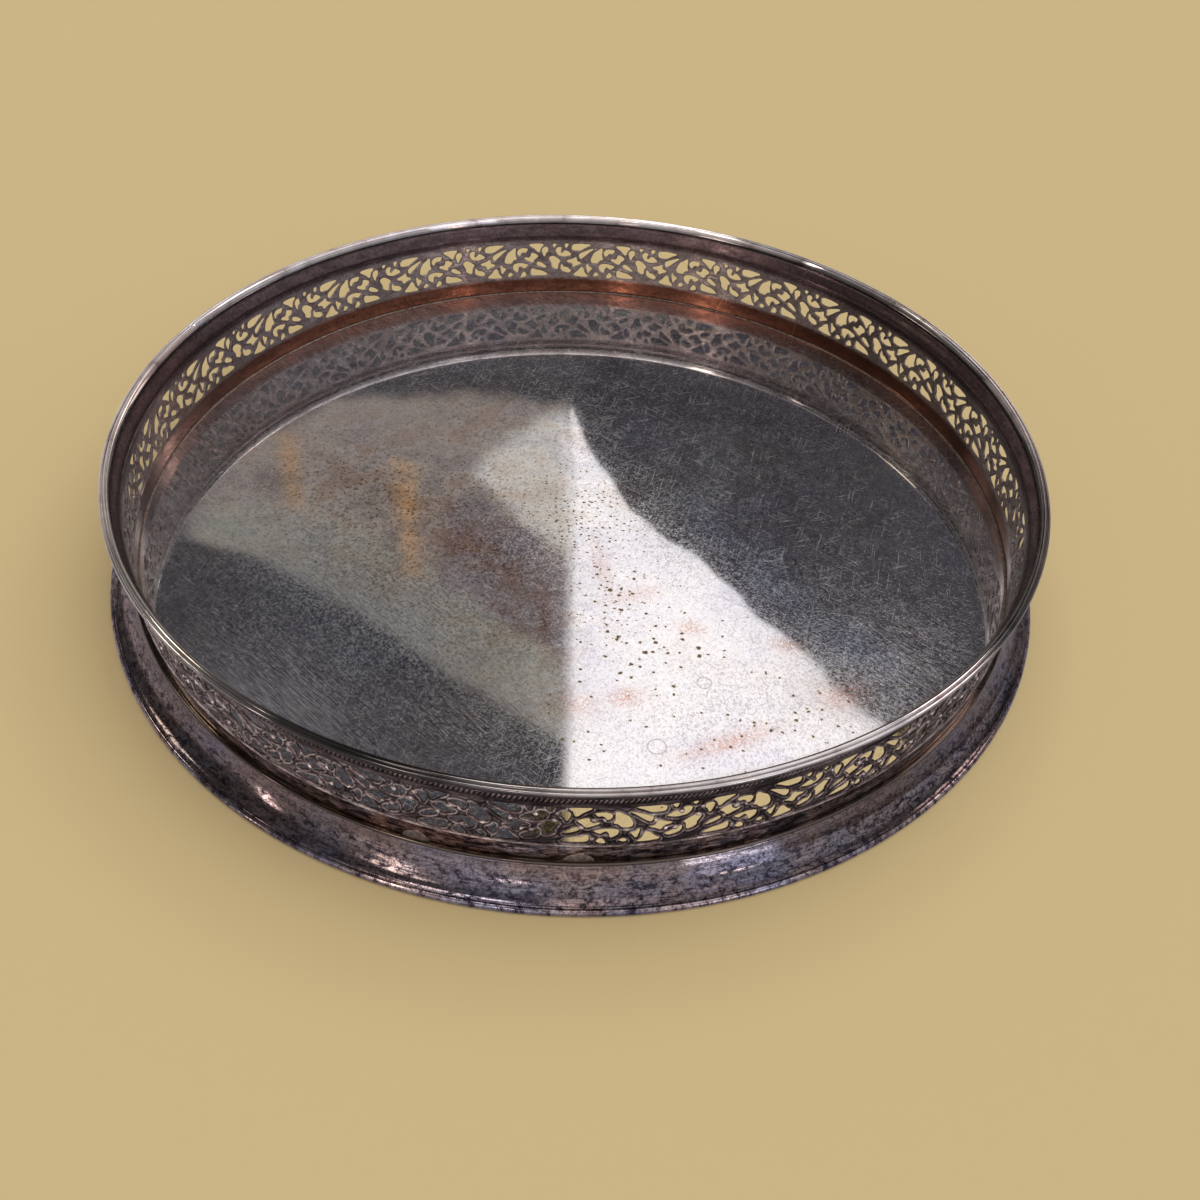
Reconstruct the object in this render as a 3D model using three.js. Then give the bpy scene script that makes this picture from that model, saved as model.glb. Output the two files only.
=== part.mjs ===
import * as THREE from 'three';
import { mergeGeometries, mergeVertices } from 'three/addons/utils/BufferGeometryUtils.js';

// A round dressing-table tray of silver plate over copper. A flat floor plate carries an upright
// pierced gallery with a beaded wire and a rolled rim moulding, and stands on a flared foot whose
// edge is stiffened by a wire. Millimetres, +Z up, origin on the table under the tray's axis.

// Driving dimensions
const galleryDiameter = 285;    // outside of the upright wall
const gallerySheet = 1.0;       // thickness of the pierced strip
const lowerBand = 6.8;          // plain band between the floor plate and the piercing
const piercedBand = 15.0;       // height of the scrollwork
const beadBand = 2.9;           // plain upright band above it, behind the beads
const coveRise = 4.6;           // height over which the wall swells out to the rim
const coveFlare = 2.6;          // how far it swells out
const rimWidth = 2.8;           // rim moulding, radially
const rimHeight = 3.1;
const rimRoll = 1.15;           // radius of its broad roll
const rimThread = 0.5;          // radius of the thin roll outside that
const rimThreadRise = 1.3;      // the thin roll's centre above the moulding's underside
const rimLap = 0.2;             // the moulding stands in past the sheet's inner face by this
const beadDiameter = 1.2;       // wire of small beads under the rim
const beadSeat = 2.25;          // its centre above the top of the piercing
const floorSheet = 1.1;         // floor plate
const floorLip = 1.3;           // its edge shows outside the gallery by this much
const footRise = 9.8;           // table to the underside of the floor plate
const footSpread = 9.9;         // the foot's edge stands out past the gallery by this
const footSheet = 0.9;
const footFlange = 3.2;         // flat part soldered under the floor plate
const footBend = 1.0;           // bend from that flange into the flare, at mid sheet
const footSlope = 18;           // degrees below level where the flare meets its edge wire
const footInset = 0.4;          // the flare starts this far inside the floor plate's edge
const footWire = 2.2;           // diameter of the edge wire
const solderThickness = 0.5;
const solderHeight = 2.8;
const solderWidth = 7.0;
const solderAngles = { left: 255.4, front: 272.4 };   // degrees round from +X
const clearance = 0.3;          // kept between pieces that are soldered together

// The scrollwork repeats round the wall, and round shapes have a few flats to each repeat
const repeats = 25;
const facetsPerRepeat = 4;

const facets = repeats * facetsPerRepeat;
const wallRadius = galleryDiameter / 2;
const wallMid = wallRadius - gallerySheet / 2;
const repeatLength = 2 * Math.PI * wallMid / repeats;
const floorTop = footRise + floorSheet;
const piercedFoot = floorTop + lowerBand;
const piercedTop = piercedFoot + piercedBand;
const coveFoot = piercedTop + beadBand;
const rimFoot = coveFoot + coveRise;

// Openings of one repeat, corner by corner as seen from outside: first how far along the repeat,
// then how far up the piercing, each from 0 to 1
const openings = {
  topWedge: [[0.092, 0.98], [0.242, 0.967], [0.136, 0.747], [0.117, 0.86]],
  scrollEye: [[0.036, 0.873], [0.083, 0.873], [0.094, 0.793], [0.072, 0.62], [0.031, 0.773]],
  stemGap: [[0.892, 0.487], [0.964, 0.62], [1.017, 0.573], [0.978, 0.313], [0.922, 0.24]],
  budGap: [[0.147, 0.64], [0.214, 0.72], [0.231, 0.62], [0.297, 0.56], [0.206, 0.453]],
  upperVolute: [[0.269, 0.847], [0.358, 0.86], [0.383, 0.773], [0.372, 0.687], [0.353, 0.66],
    [0.325, 0.753]],
  broadLeaf: [[0.411, 0.873], [0.494, 0.733], [0.525, 0.56], [0.519, 0.453], [0.464, 0.44], [0.397, 0.56]],
  lowLeaf: [[0.05, 0.293], [0.136, 0.46], [0.153, 0.367]],
  lowWedge: [[0.039, 0.06], [0.094, 0.18], [0.217, 0.253], [0.219, 0.073]],
  lowerVolute: [[0.264, 0.367], [0.361, 0.433], [0.419, 0.393], [0.428, 0.253], [0.383, 0.173],
    [0.353, 0.333]],
  footEyelet: [[0.283, 0.08], [0.308, 0.167], [0.342, 0.027]],
  stemEyelet: [[0.525, 0.28], [0.575, 0.393], [0.561, 0.14]],
  footWedge: [[0.631, 0.3], [0.725, 0.06], [0.567, 0.04]],
  topSliver: [[0.55, 0.953], [0.731, 0.973], [0.747, 0.833], [0.65, 0.813]],
  longLeaf: [[0.511, 0.853], [0.661, 0.693], [0.656, 0.56], [0.564, 0.733]],
  tendrilGap: [[0.647, 0.42], [0.708, 0.593], [0.803, 0.48], [0.733, 0.32]],
  curlGap: [[0.767, 0.68], [0.825, 0.787], [0.867, 0.707], [0.886, 0.86], [0.933, 0.833],
    [0.908, 0.66], [0.825, 0.627]],
  lowCurl: [[0.767, 0.2], [0.847, 0.3], [0.872, 0.36], [0.869, 0.213], [0.794, 0.14]],
};

// The line between two repeats winds up between the openings
const seam = [[0, 0.16], [0.014, 0.36], [0.033, 0.573], [0.011, 0.76]];

const metals = {
  floor: new THREE.MeshStandardMaterial({ color: 0x77747a, metalness: 0.95, roughness: 0.22 }),
  gallery: new THREE.MeshStandardMaterial({ color: 0x54453f, metalness: 0.85, roughness: 0.45 }),
  rim: new THREE.MeshStandardMaterial({ color: 0x958d90, metalness: 0.95, roughness: 0.28 }),
  beads: new THREE.MeshStandardMaterial({ color: 0x5d5350, metalness: 0.85, roughness: 0.42 }),
  foot: new THREE.MeshStandardMaterial({ color: 0x6c656a, metalness: 0.9, roughness: 0.38 }),
  footEdge: new THREE.MeshStandardMaterial({ color: 0x7d7672, metalness: 0.9, roughness: 0.35 }),
  solder: new THREE.MeshStandardMaterial({ color: 0x8b8381, metalness: 0.8, roughness: 0.5 }),
};

// A ring from its cross-section, a closed outline of (radius, height) points
function ring(section) {
  const outline = section.map(([radius, height]) => new THREE.Vector2(radius, height));
  if (!THREE.ShapeUtils.isClockWise(outline)) outline.reverse();
  outline.push(outline[0].clone());
  return new THREE.LatheGeometry(outline.reverse(), facets).rotateX(Math.PI / 2);
}

// Points of an arc, from one angle to another in degrees
function arc(centreRadius, centreHeight, size, from, to, steps) {
  return Array.from({ length: steps + 1 }, (_, i) => {
    const angle = THREE.MathUtils.degToRad(from + (to - from) * i / steps);
    return [centreRadius + size * Math.cos(angle), centreHeight + size * Math.sin(angle)];
  });
}

// Cross-section of a bent sheet: its middle line moved half a thickness to either side
function sheetSection(middle, thickness) {
  const side = (sign) => middle.map(([radius, height], i) => {
    const before = middle[Math.max(i - 1, 0)];
    const after = middle[Math.min(i + 1, middle.length - 1)];
    const along = Math.hypot(after[0] - before[0], after[1] - before[1]);
    const shift = sign * thickness / 2 / along;
    return [radius - shift * (after[1] - before[1]), height + shift * (after[0] - before[0])];
  });
  return [...side(1), ...side(-1).reverse()];
}

// Floor plate: a flat disc. Its top is an open field inside the wall, and the margin that the wall
// stands on.
function floorPlate() {
  const radius = wallRadius + floorLip;
  const field = wallRadius - gallerySheet - clearance;
  const faces = [
    new THREE.CircleGeometry(field, facets).translate(0, 0, floorTop),
    new THREE.RingGeometry(field, radius, facets).translate(0, 0, floorTop),
    new THREE.CircleGeometry(radius, facets).rotateX(Math.PI).translate(0, 0, footRise),
    new THREE.CylinderGeometry(radius, radius, floorSheet, facets, 1, true).rotateX(Math.PI / 2)
      .translate(0, 0, footRise + floorSheet / 2),
  ];
  for (const face of faces) face.deleteAttribute('normal').deleteAttribute('uv');
  return mergeVertices(mergeGeometries(faces));
}

// The wall's middle radius, and half its width measured level, at a distance s above its foot. Past
// the upright part it swells out in an S: flare * (1 - cos(pi t)) / 2 for t from 0 to 1 up the cove.
function wallAt(s) {
  const t = Math.max(0, (floorTop + s - coveFoot) / coveRise);
  const slope = coveFlare / coveRise * Math.PI / 2 * Math.sin(Math.PI * t);
  return {
    middle: wallMid + coveFlare * (1 - Math.cos(Math.PI * t)) / 2,
    half: gallerySheet / 2 * Math.hypot(1, slope),
  };
}

// The plan of one repeat, laid flat: points are [turn, s], with turn in repeats and s up from the
// wall's foot. Its side edges follow the seam, so the next repeat continues it.
const upright = lowerBand + piercedBand + beadBand;
const columns = Array.from({ length: facetsPerRepeat + 1 }, (_, i) => i / facetsPerRepeat);
const drawn = ([along, up]) => [along, lowerBand + up * piercedBand];
const holes = Object.values(openings).map((corners) => corners.map(drawn));

// Triangles of the upright part, round the openings
function uprightTriangles() {
  const side = seam.map(drawn);
  const border = [
    ...columns.map((turn) => [turn, 0]),
    ...side.map(([turn, s]) => [turn + 1, s]),
    ...columns.map((turn) => [turn, upright]).reverse(),
    ...side.toReversed(),
  ];
  // The level edges bow out a little while the faces are found, which keeps their middle points
  const bow = ([turn, s]) => upright / 200 * Math.sign(s - upright / 2) * Math.sin(Math.PI * turn);
  const flat = ([turn, s]) => new THREE.Vector2(turn * repeatLength, s);
  const bowed = (point) => flat(point).add(new THREE.Vector2(0, bow(point)));
  const corners = [...border, ...holes.flat()];
  const faces = THREE.ShapeUtils.triangulateShape(border.map(bowed), holes.map((hole) => hole.map(flat)));
  return faces.map((face) => face.map((i) => corners[i]));
}

// Triangles of the cove above it, in level rows
function coveTriangles() {
  const steps = 3;
  const triangles = [];
  for (let row = 0; row < steps; row++) {
    const [low, high] = [row, row + 1].map((n) => upright + coveRise * n / steps);
    for (let i = 0; i < facetsPerRepeat; i++) {
      const [from, to] = [columns[i], columns[i + 1]];
      triangles.push([[from, low], [to, low], [to, high]], [[from, low], [to, high], [from, high]]);
    }
  }
  return triangles;
}

// Edges where the sheet ends, each with the metal on its left: the wall's foot, its top, and
// round every opening
function sheetEdges() {
  const edges = [];
  for (let i = 0; i < facetsPerRepeat; i++) {
    edges.push([[columns[i], 0], [columns[i + 1], 0]]);
    edges.push([[columns[i + 1], upright + coveRise], [columns[i], upright + coveRise]]);
  }
  for (const hole of holes) {
    const area = THREE.ShapeUtils.area(hole.map(([turn, s]) => new THREE.Vector2(turn, s)));
    const loop = area > 0 ? hole.toReversed() : hole;
    loop.forEach((corner, i) => edges.push([corner, loop[(i + 1) % loop.length]]));
  }
  return edges;
}

// The gallery: the plan bent round the axis, with an outer and an inner skin joined at the edges
function gallery() {
  const position = [];
  const put = ([turn, s], outwards) => {
    const { middle, half } = wallAt(s);
    const angle = turn / repeats * 2 * Math.PI - Math.PI / 2;
    const radius = middle + outwards * half;
    position.push(radius * Math.cos(angle), radius * Math.sin(angle), floorTop + s);
  };
  const plan = [...uprightTriangles(), ...coveTriangles()];
  const edges = sheetEdges();
  for (let repeat = 0; repeat < repeats; repeat++) {
    const at = ([turn, s]) => [turn + repeat, s];
    for (const [a, b, c] of plan) {
      [a, b, c].forEach((point) => put(at(point), 1));
      [c, b, a].forEach((point) => put(at(point), -1));
    }
    for (const [a, b] of edges) {
      const corners = [[b, 1], [a, 1], [a, -1], [b, 1], [a, -1], [b, -1]];
      corners.forEach(([point, outwards]) => put(at(point), outwards));
    }
  }
  const skin = new THREE.BufferGeometry();
  skin.setAttribute('position', new THREE.Float32BufferAttribute(position, 3));
  return mergeVertices(skin);
}

// Rim moulding: a broad roll towards the inside and a thin one outside it, on a flat underside
function rimMoulding() {
  const inner = wallMid + coveFlare - gallerySheet / 2 - rimLap;
  const roll = arc(inner + rimRoll, rimFoot + rimHeight - rimRoll, rimRoll, 190, 10, 6);
  const thread = arc(inner + rimWidth - rimThread, rimFoot + rimThreadRise, rimThread, 80, -80, 3);
  return ring([[inner, rimFoot], ...roll, ...thread, [inner + rimWidth - rimThread, rimFoot]]);
}

// Beaded wire, soldered round the wall under the rim
function beadedWire() {
  const size = beadDiameter / 2;
  const section = arc(wallRadius + clearance + size, piercedTop + beadSeat, size, 0, 300, 5);
  return ring(section);
}

// Edge wire of the foot, the only thing that touches the table: an eight-sided section that rests
// on one of its flats
const wireSides = 8;
const wireTurn = 180 / wireSides;
const wireSize = footWire / 2;
const wireRadius = wallRadius + footSpread - wireSize;
const wireHeight = wireSize * Math.cos(THREE.MathUtils.degToRad(wireTurn));
function footEdge() {
  return ring(arc(wireRadius, wireHeight, wireSize, wireTurn, 360 - wireTurn, wireSides - 1));
}

// Foot: a flange under the floor plate, bent down into a flare that ends short of the edge wire
function foot() {
  const slope = THREE.MathUtils.degToRad(footSlope);
  const reach = wireSize + clearance;
  const topRadius = wallRadius + floorLip - footInset - footSheet / 2;
  const flangeHeight = footRise - footSheet / 2;
  const start = new THREE.Vector2(topRadius, flangeHeight - footBend);
  const end = new THREE.Vector2(wireRadius - reach * Math.cos(slope), wireHeight + reach * Math.sin(slope));
  const pull = new THREE.Vector2(topRadius, end.y + (end.x - topRadius) * Math.tan(slope));
  const flare = new THREE.QuadraticBezierCurve(start, pull, end).getPoints(4);
  const bend = arc(topRadius - footBend, flangeHeight - footBend, footBend, 90, 0, 2).slice(0, -1);
  const flange = [topRadius - footFlange, flangeHeight];
  return ring(sheetSection([flange, ...bend, ...flare.map((point) => [point.x, point.y])], footSheet));
}

// A run of solder on the wall, a half oval standing on the floor plate's edge
function solderRun() {
  const outline = new THREE.Shape();
  outline.absellipse(0, 0, solderWidth / 2, solderHeight, 0, Math.PI);
  outline.closePath();
  const settings = { depth: solderThickness, bevelEnabled: false, curveSegments: 8 };
  const run = new THREE.ExtrudeGeometry(outline, settings);
  const seat = wallRadius + clearance;
  return mergeVertices(run.rotateX(Math.PI / 2).translate(0, -seat, floorTop + clearance));
}

function piece(name, geometry, material) {
  const mesh = new THREE.Mesh(geometry, material);
  mesh.name = name;
  return mesh;
}

const tray = new THREE.Group();
tray.add(
  piece('floor_plate', floorPlate(), metals.floor),
  piece('pierced_gallery', gallery(), metals.gallery),
  piece('rim_moulding', rimMoulding(), metals.rim),
  piece('beaded_wire', beadedWire(), metals.beads),
  piece('flared_foot', foot(), metals.foot),
  piece('foot_edge_wire', footEdge(), metals.footEdge),
);
for (const [side, angle] of Object.entries(solderAngles)) {
  const run = piece(`solder_run_${side}`, solderRun(), metals.solder);
  run.rotation.z = THREE.MathUtils.degToRad(angle + 90);
  tray.add(run);
}

export default tray;
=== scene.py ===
import functools
import math
import bpy
import numpy as np
from mathutils import Matrix, Vector


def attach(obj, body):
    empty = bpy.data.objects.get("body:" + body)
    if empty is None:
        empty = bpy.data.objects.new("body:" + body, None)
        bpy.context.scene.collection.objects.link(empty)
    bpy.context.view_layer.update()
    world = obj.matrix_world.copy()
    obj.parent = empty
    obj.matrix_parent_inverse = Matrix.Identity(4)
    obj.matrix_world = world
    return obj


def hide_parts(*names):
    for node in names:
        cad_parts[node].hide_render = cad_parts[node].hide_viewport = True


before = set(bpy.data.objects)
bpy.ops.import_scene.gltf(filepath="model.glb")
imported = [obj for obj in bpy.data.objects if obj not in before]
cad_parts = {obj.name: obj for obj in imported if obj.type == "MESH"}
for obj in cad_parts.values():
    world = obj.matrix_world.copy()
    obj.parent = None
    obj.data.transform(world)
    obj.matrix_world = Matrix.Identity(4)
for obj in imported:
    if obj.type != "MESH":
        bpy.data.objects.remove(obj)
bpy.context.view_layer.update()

# Round dressing-table tray: silver plate over copper, a pierced gallery on a mirror floor, a flared
# foot. Sizes below are millimetres, and buildPiece turns them to metres in the frame's own place.
print("frame loaded:", len(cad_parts), "nodes")


def toLinear(hexColour):
    # sRGB hex to linear: c / 12.92 up to 0.04045, else ((c + 0.055) / 1.055) to the power 2.4
    parts = [int(hexColour[i:i + 2], 16) / 255 for i in (1, 3, 5)]
    return tuple(c / 12.92 if c <= 0.04045 else ((c + 0.055) / 1.055) ** 2.4 for c in parts) + (1.0,)


def addNode(tree, kind, sockets=None, **settings):
    # One node. A socket given another node is linked to that node's factor or first output in use,
    # and one given an output is linked to it; any other value is set on it. Settings are the node's
    # properties, or the stops of a ramp.
    node = tree.nodes.new("ShaderNode" + kind)
    for key, value in settings.items():
        if key == "stops":
            stops = node.color_ramp.elements
            while len(stops) < len(value):
                stops.new(1.0)
            for stop, (place, colour) in zip(stops, value):
                stop.position = place
                stop.color = toLinear(colour)
        else:
            setattr(node, key, value)
    for key, value in (sockets or {}).items():
        if isinstance(value, bpy.types.Node):
            value = value.outputs.get("Fac") or next(output for output in value.outputs if output.enabled)
        if isinstance(value, bpy.types.NodeSocket):
            tree.links.new(value, node.inputs[key])
        else:
            node.inputs[key].default_value = value
    return node


def newMaterial(name):
    # A material with an empty tree, and the function that adds nodes to it
    material = bpy.data.materials.new(name)
    material.use_nodes = True
    material.node_tree.nodes.clear()
    return material, functools.partial(addNode, material.node_tree)


def metalStart(name):
    # A new material, and the place of a point in mm, which its patterns read
    material, add = newMaterial(name)
    where = add("TexCoord")
    return material, add, add("VectorMath", {0: where.outputs["Object"], "Scale": 1000.0},
                              operation="SCALE")


# Two ways of mixing colours: the second over the first, or the first darkened by the second
over = {"data_type": "RGBA"}
darkened = {"data_type": "RGBA", "blend_type": "MULTIPLY"}


def buildPiece(name, points, faces, material, nodes=(), values=None):
    # Points in mm as an array (n, 3); faces as one array (m, 3 or 4) or a list of such arrays;
    # values holds one number per point for each named attribute.
    mesh = bpy.data.meshes.new(name)
    groups = faces if isinstance(faces, list) else [faces]
    sizes = np.concatenate([np.full(len(group), group.shape[1]) for group in groups])
    corners = np.concatenate([group.ravel() for group in groups]).astype(np.int32)
    mesh.vertices.add(len(points))
    mesh.vertices.foreach_set("co", (np.asarray(points, float) * 0.001).ravel().astype(np.float32))
    mesh.loops.add(len(corners))
    mesh.loops.foreach_set("vertex_index", corners)
    mesh.polygons.add(len(sizes))
    mesh.polygons.foreach_set("loop_start", np.concatenate([[0],
                                                            np.cumsum(sizes)[:-1]]).astype(np.int32))
    mesh.polygons.foreach_set("use_smooth", np.ones(len(sizes), bool))
    mesh.update(calc_edges=True)
    mesh.validate()
    for key, numbers in (values or {}).items():
        layer = mesh.attributes.new(key, "FLOAT", "POINT")
        layer.data.foreach_set("value", np.asarray(numbers, np.float32))
    piece = newObject(name, mesh)
    piece.data.materials.append(material)
    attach(piece, "root")
    if nodes:
        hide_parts(*nodes)
    return piece


def gridFaces(rows, columns, around=False, closed=False):
    # Quads of a grid of points, row by row. Around joins each row's end to its start, and closed
    # joins the last row to the first. From a quad's first point the next one is a row further.
    i = np.arange(rows if closed else rows - 1)[:, None]
    j = np.arange(columns if around else columns - 1)
    further = (i + 1) % rows * columns
    along = (j + 1) % columns
    quads = [i * columns + j, further + j, further + along, i * columns + along]
    return np.stack([corner.ravel() for corner in quads], 1)


def newObject(name, data):
    # An object of the given mesh, camera or light, put in the scene
    made = bpy.data.objects.new(name, data)
    bpy.context.scene.collection.objects.link(made)
    return made


def turn(outline, segments, ripple=None):
    # A closed outline of (radius, height), walked clockwise as (radius right, height up), carried
    # round the axis: x = r cos a, y = r sin a. Ripple gives small shifts of r and z by angle.
    outline = np.asarray(outline, float)
    area = np.sum(outline[:, 0] * np.roll(outline[:, 1], -1) - np.roll(outline[:, 0], -1) * outline[:,
                                                                                                    1])
    if area < 0:
        outline = outline[::-1]
    angle = np.linspace(0, 2 * np.pi, segments, endpoint=False)
    radius = outline[:, :1] + np.zeros_like(angle)
    height = outline[:, 1:] + np.zeros_like(angle)
    if ripple:
        shiftRadius, shiftHeight = ripple(outline, angle)
        radius = radius + shiftRadius
        height = height + shiftHeight
    points = np.stack([radius * np.cos(angle), radius * np.sin(angle), height], 2).reshape(-1, 3)
    return points, gridFaces(len(outline), segments, True, True)[:, [1, 2, 3, 0]], outline


def arcPoints(centreRadius, centreHeight, size, start, end, steps):
    # Points of an arc from one angle to another, in degrees
    angle = np.radians(np.linspace(start, end, steps))
    return np.stack([centreRadius + size * np.cos(angle), centreHeight + size * np.sin(angle)], 1)


def smoothStep(low, high, x):
    # 3t^2 - 2t^3 between low and high, 0 before and 1 after
    t = np.clip((x - low) / (high - low), 0, 1)
    return t * t * (3 - 2 * t)


def depthWithin(x, y, corners):
    # Distance from each point to the nearest side of a closed outline, positive inside it and
    # negative outside. Nearest point of a side: foot of the perpendicular, held to its ends.
    ahead = np.roll(corners, -1, 0)
    step = ahead - corners
    dx = x[..., None] - corners[:, 0]
    dy = y[..., None] - corners[:, 1]
    t = np.clip((dx * step[:, 0] + dy * step[:, 1]) / (step ** 2).sum(1), 0, 1)
    near = np.hypot(dx - t * step[:, 0], dy - t * step[:, 1]).min(-1)
    crosses = (corners[:, 1] > y[..., None]) != (ahead[:, 1] > y[..., None])
    slant = np.where(np.abs(step[:, 1]) > 1e-9, step[:, 1], 1e-9)
    left = dx < step[:, 0] * dy / slant
    return np.where((crosses & left).sum(-1) % 2 == 1, near, -near)


def waves(angle, seed, orders, size):
    # A few sine waves round the axis with seeded phases: whole orders, so the ring closes
    luck = np.random.default_rng(seed)
    total = np.zeros_like(angle)
    for order in orders:
        total = total + size * luck.uniform(0.4, 1.0) * np.sin(order * angle + luck.uniform(0,
                                                                                            2 * np.pi))
    return total


def byAngle(pairs, segments):
    # A number for each of the segments round the axis, between the given (degrees, number) pairs
    spin = np.linspace(0, 360, segments, endpoint=False)
    turned, numbers = np.array(pairs).T
    return np.interp(np.where(spin > 180, spin - 360, spin), turned, numbers)


# Camera
viewpoint = {
    "place": (0.00498, -0.32065, 0.27116),
    "aim": (0.00867, -0.04625, 0.01087),
    "roll": 3.503,        # degrees
    "lens": 36.574,       # mm, on a 36 mm sensor
}


def placeCamera(settings):
    # Right = forward x up, then right and up are turned by the roll about the forward direction
    camera = newObject("camera", bpy.data.cameras.new("camera"))
    place = Vector(settings["place"])
    forward = (Vector(settings["aim"]) - place).normalized()
    right = forward.cross(Vector((0, 0, 1))).normalized()
    up = right.cross(forward)
    roll = math.radians(settings["roll"])
    across = right * math.cos(roll) + up * math.sin(roll)
    upwards = up * math.cos(roll) - right * math.sin(roll)
    turnMatrix = Matrix((across, upwards, -forward)).transposed()
    camera.matrix_world = Matrix.Translation(place) @ turnMatrix.to_4x4()
    camera.data.lens = settings["lens"]
    camera.data.sensor_width = 36
    camera.data.clip_start = 0.01
    camera.data.clip_end = 50
    bpy.context.scene.camera = camera


placeCamera(viewpoint)
bpy.context.scene.view_settings.view_transform = "Standard"
print("camera placed")


# Floor plate. Stains and pitted zones are ovals: place x, y, half length, half width, angle in
# degrees, strength. A hair scratch is middle x, y, half length, angle, bow in mm; a drip ring is
# x, y, radius.
floorPlate = {
    "radius": 143.8,
    "top": 10.9,
    "underside": 9.8,
    "edgeRound": 0.45,
    "waves": 0.012,       # how far the sheet is out of flat
    "segments": 480,
    "clear": 0.02,        # roughness of the buffed silver
    # Marks: the lie in degrees, then length and width in mm
    "wipings": [(28, 1.9, 0.2), (-36, 2.6, 0.2), (76, 1.6, 0.2), (-4, 2.3, 0.2)],
    "scratches": [(22, 12, 0.2), (-38, 10, 0.2), (75, 13, 0.2)],
    # Pits: how far apart in mm, their zones' name, the biggest in mm, how drawn out across the tray
    "pitKinds": [(1.8, "flecks", 0.38, 0.8), (3.5, "pits", 0.74, 0.9)],
    "stainsAndEdgeShade": {"straw": "#a8966e", "blue": "#b9c0d2", "copper": "#b87a5c", "dirt": "#6a5d52",
               "edge": "#5c524c"},
    "copper": [(-36, -24, 12, 7, -35, 0.4), (17, -86, 5, 3.5, 20, 0.75), (46, -101, 15, 3, 24, 0.7),
               (36.5, -56.6, 4, 2.5, 0, 0.8), (81, -81, 8, 4.5, 28, 0.75), (-8, -56, 2, 13, 3, 0.8),
               (9, -31, 3, 12, 10, 0.45), (20, -43, 9, 3, 25, 0.45), (1, -90, 9, 5, 0, 0.5),
               (66, -62, 5, 3.5, 0, 0.7), (-20, -38, 8, 8, 0, 0.2)],
    "dirt": [(-105, 4, 6, 8, 20, 0.6), (-66, 2, 20, 8, -25, 0.35), (-8, -56, 1.5, 10, 3, 0.6),
             (98, 10, 30, 26, 0, 0.2), (-15, 66, 50, 9, 0, 0.3)],
    "blue": [(64, -36, 22, 8, -54, 0.5), (44, -7, 14, 6, -54, 0.5), (86, -60, 14, 8, -50, 0.6),
             (-70, -62, 40, 22, -35, 0.35)],
    "pits": [(24, -67, 20, 18, 0, 0.85), (13, -45, 13, 18, 0, 0.6), (-72, 4, 20, 14, -15, 0.45),
             (4, -95, 22, 16, 0, 0.4), (60, -92, 40, 14, 25, 0.35), (-40, -20, 40, 30, 0, 0.2)],
    "flecks": [(-50, 0, 55, 26, -15, 0.55), (0, -8, 24, 30, 0, 0.8), (12, -44, 14, 22, 0, 0.6),
               (-20, -45, 24, 22, 0, 0.4)],
    "haze": [(100, -66, 26, 30, 0, 0.9), (-80, -86, 40, 20, -38, 0.95), (68, -42, 30, 10, -50, 0.4),
             (-30, -98, 28, 14, 5, 0.7), (40, 6, 22, 20, 0, 0.3), (-60, -50, 40, 20, -30, 0.6)],
    "grain": [(0, 0, 400, 400, 0, 0.35), (-62, -58, 60, 44, -40, 1.0), (-24, -26, 34, 26, -35, 0.9),
              (50, -90, 60, 36, 25, 0.6), (96, -70, 24, 24, 0, 0.9), (30, -20, 16, 40, 25, 0.6)],
    "mottle": [(-62, 0, 62, 46, -10, 0.75), (-28, -30, 26, 16, -35, 0.9), (-20, -56, 30, 30, 0, 0.6),
               (-30, 40, 60, 30, 0, 0.5), (60, -80, 60, 30, 0, 0.12), (70, 20, 50, 60, 0, 0.3)],
    "hairs": [(-33.2, -23.4, 8.6, 67, 0.5), (-77, -61, 8.5, -57, 1.2), (50, -44, 9, -28, 0.6),
              (82, -47, 9, -8, 0.4), (-49, -66, 9, -62, 0.4), (-30, -52, 11, -52, 0.3),
              (19, -34, 13, -75, 0.8), (60, -24, 7, 4, 0.8), (-62, -80, 7, 40, 0.5),
              (96, -70, 8, 35, 0.4), (70, 12, 4, -35, 0.3), (-8, -33, 6, 64, 0.2)],
    "rings": [(104.1, -53.4, 2.5), (83.5, -16.8, 2.6), (69.7, -23.8, 2.1), (85, -82.6, 2.2),
              (40, -79, 2.4), (26, -104, 2.8), (52, -31, 1.9)],
}


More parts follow.
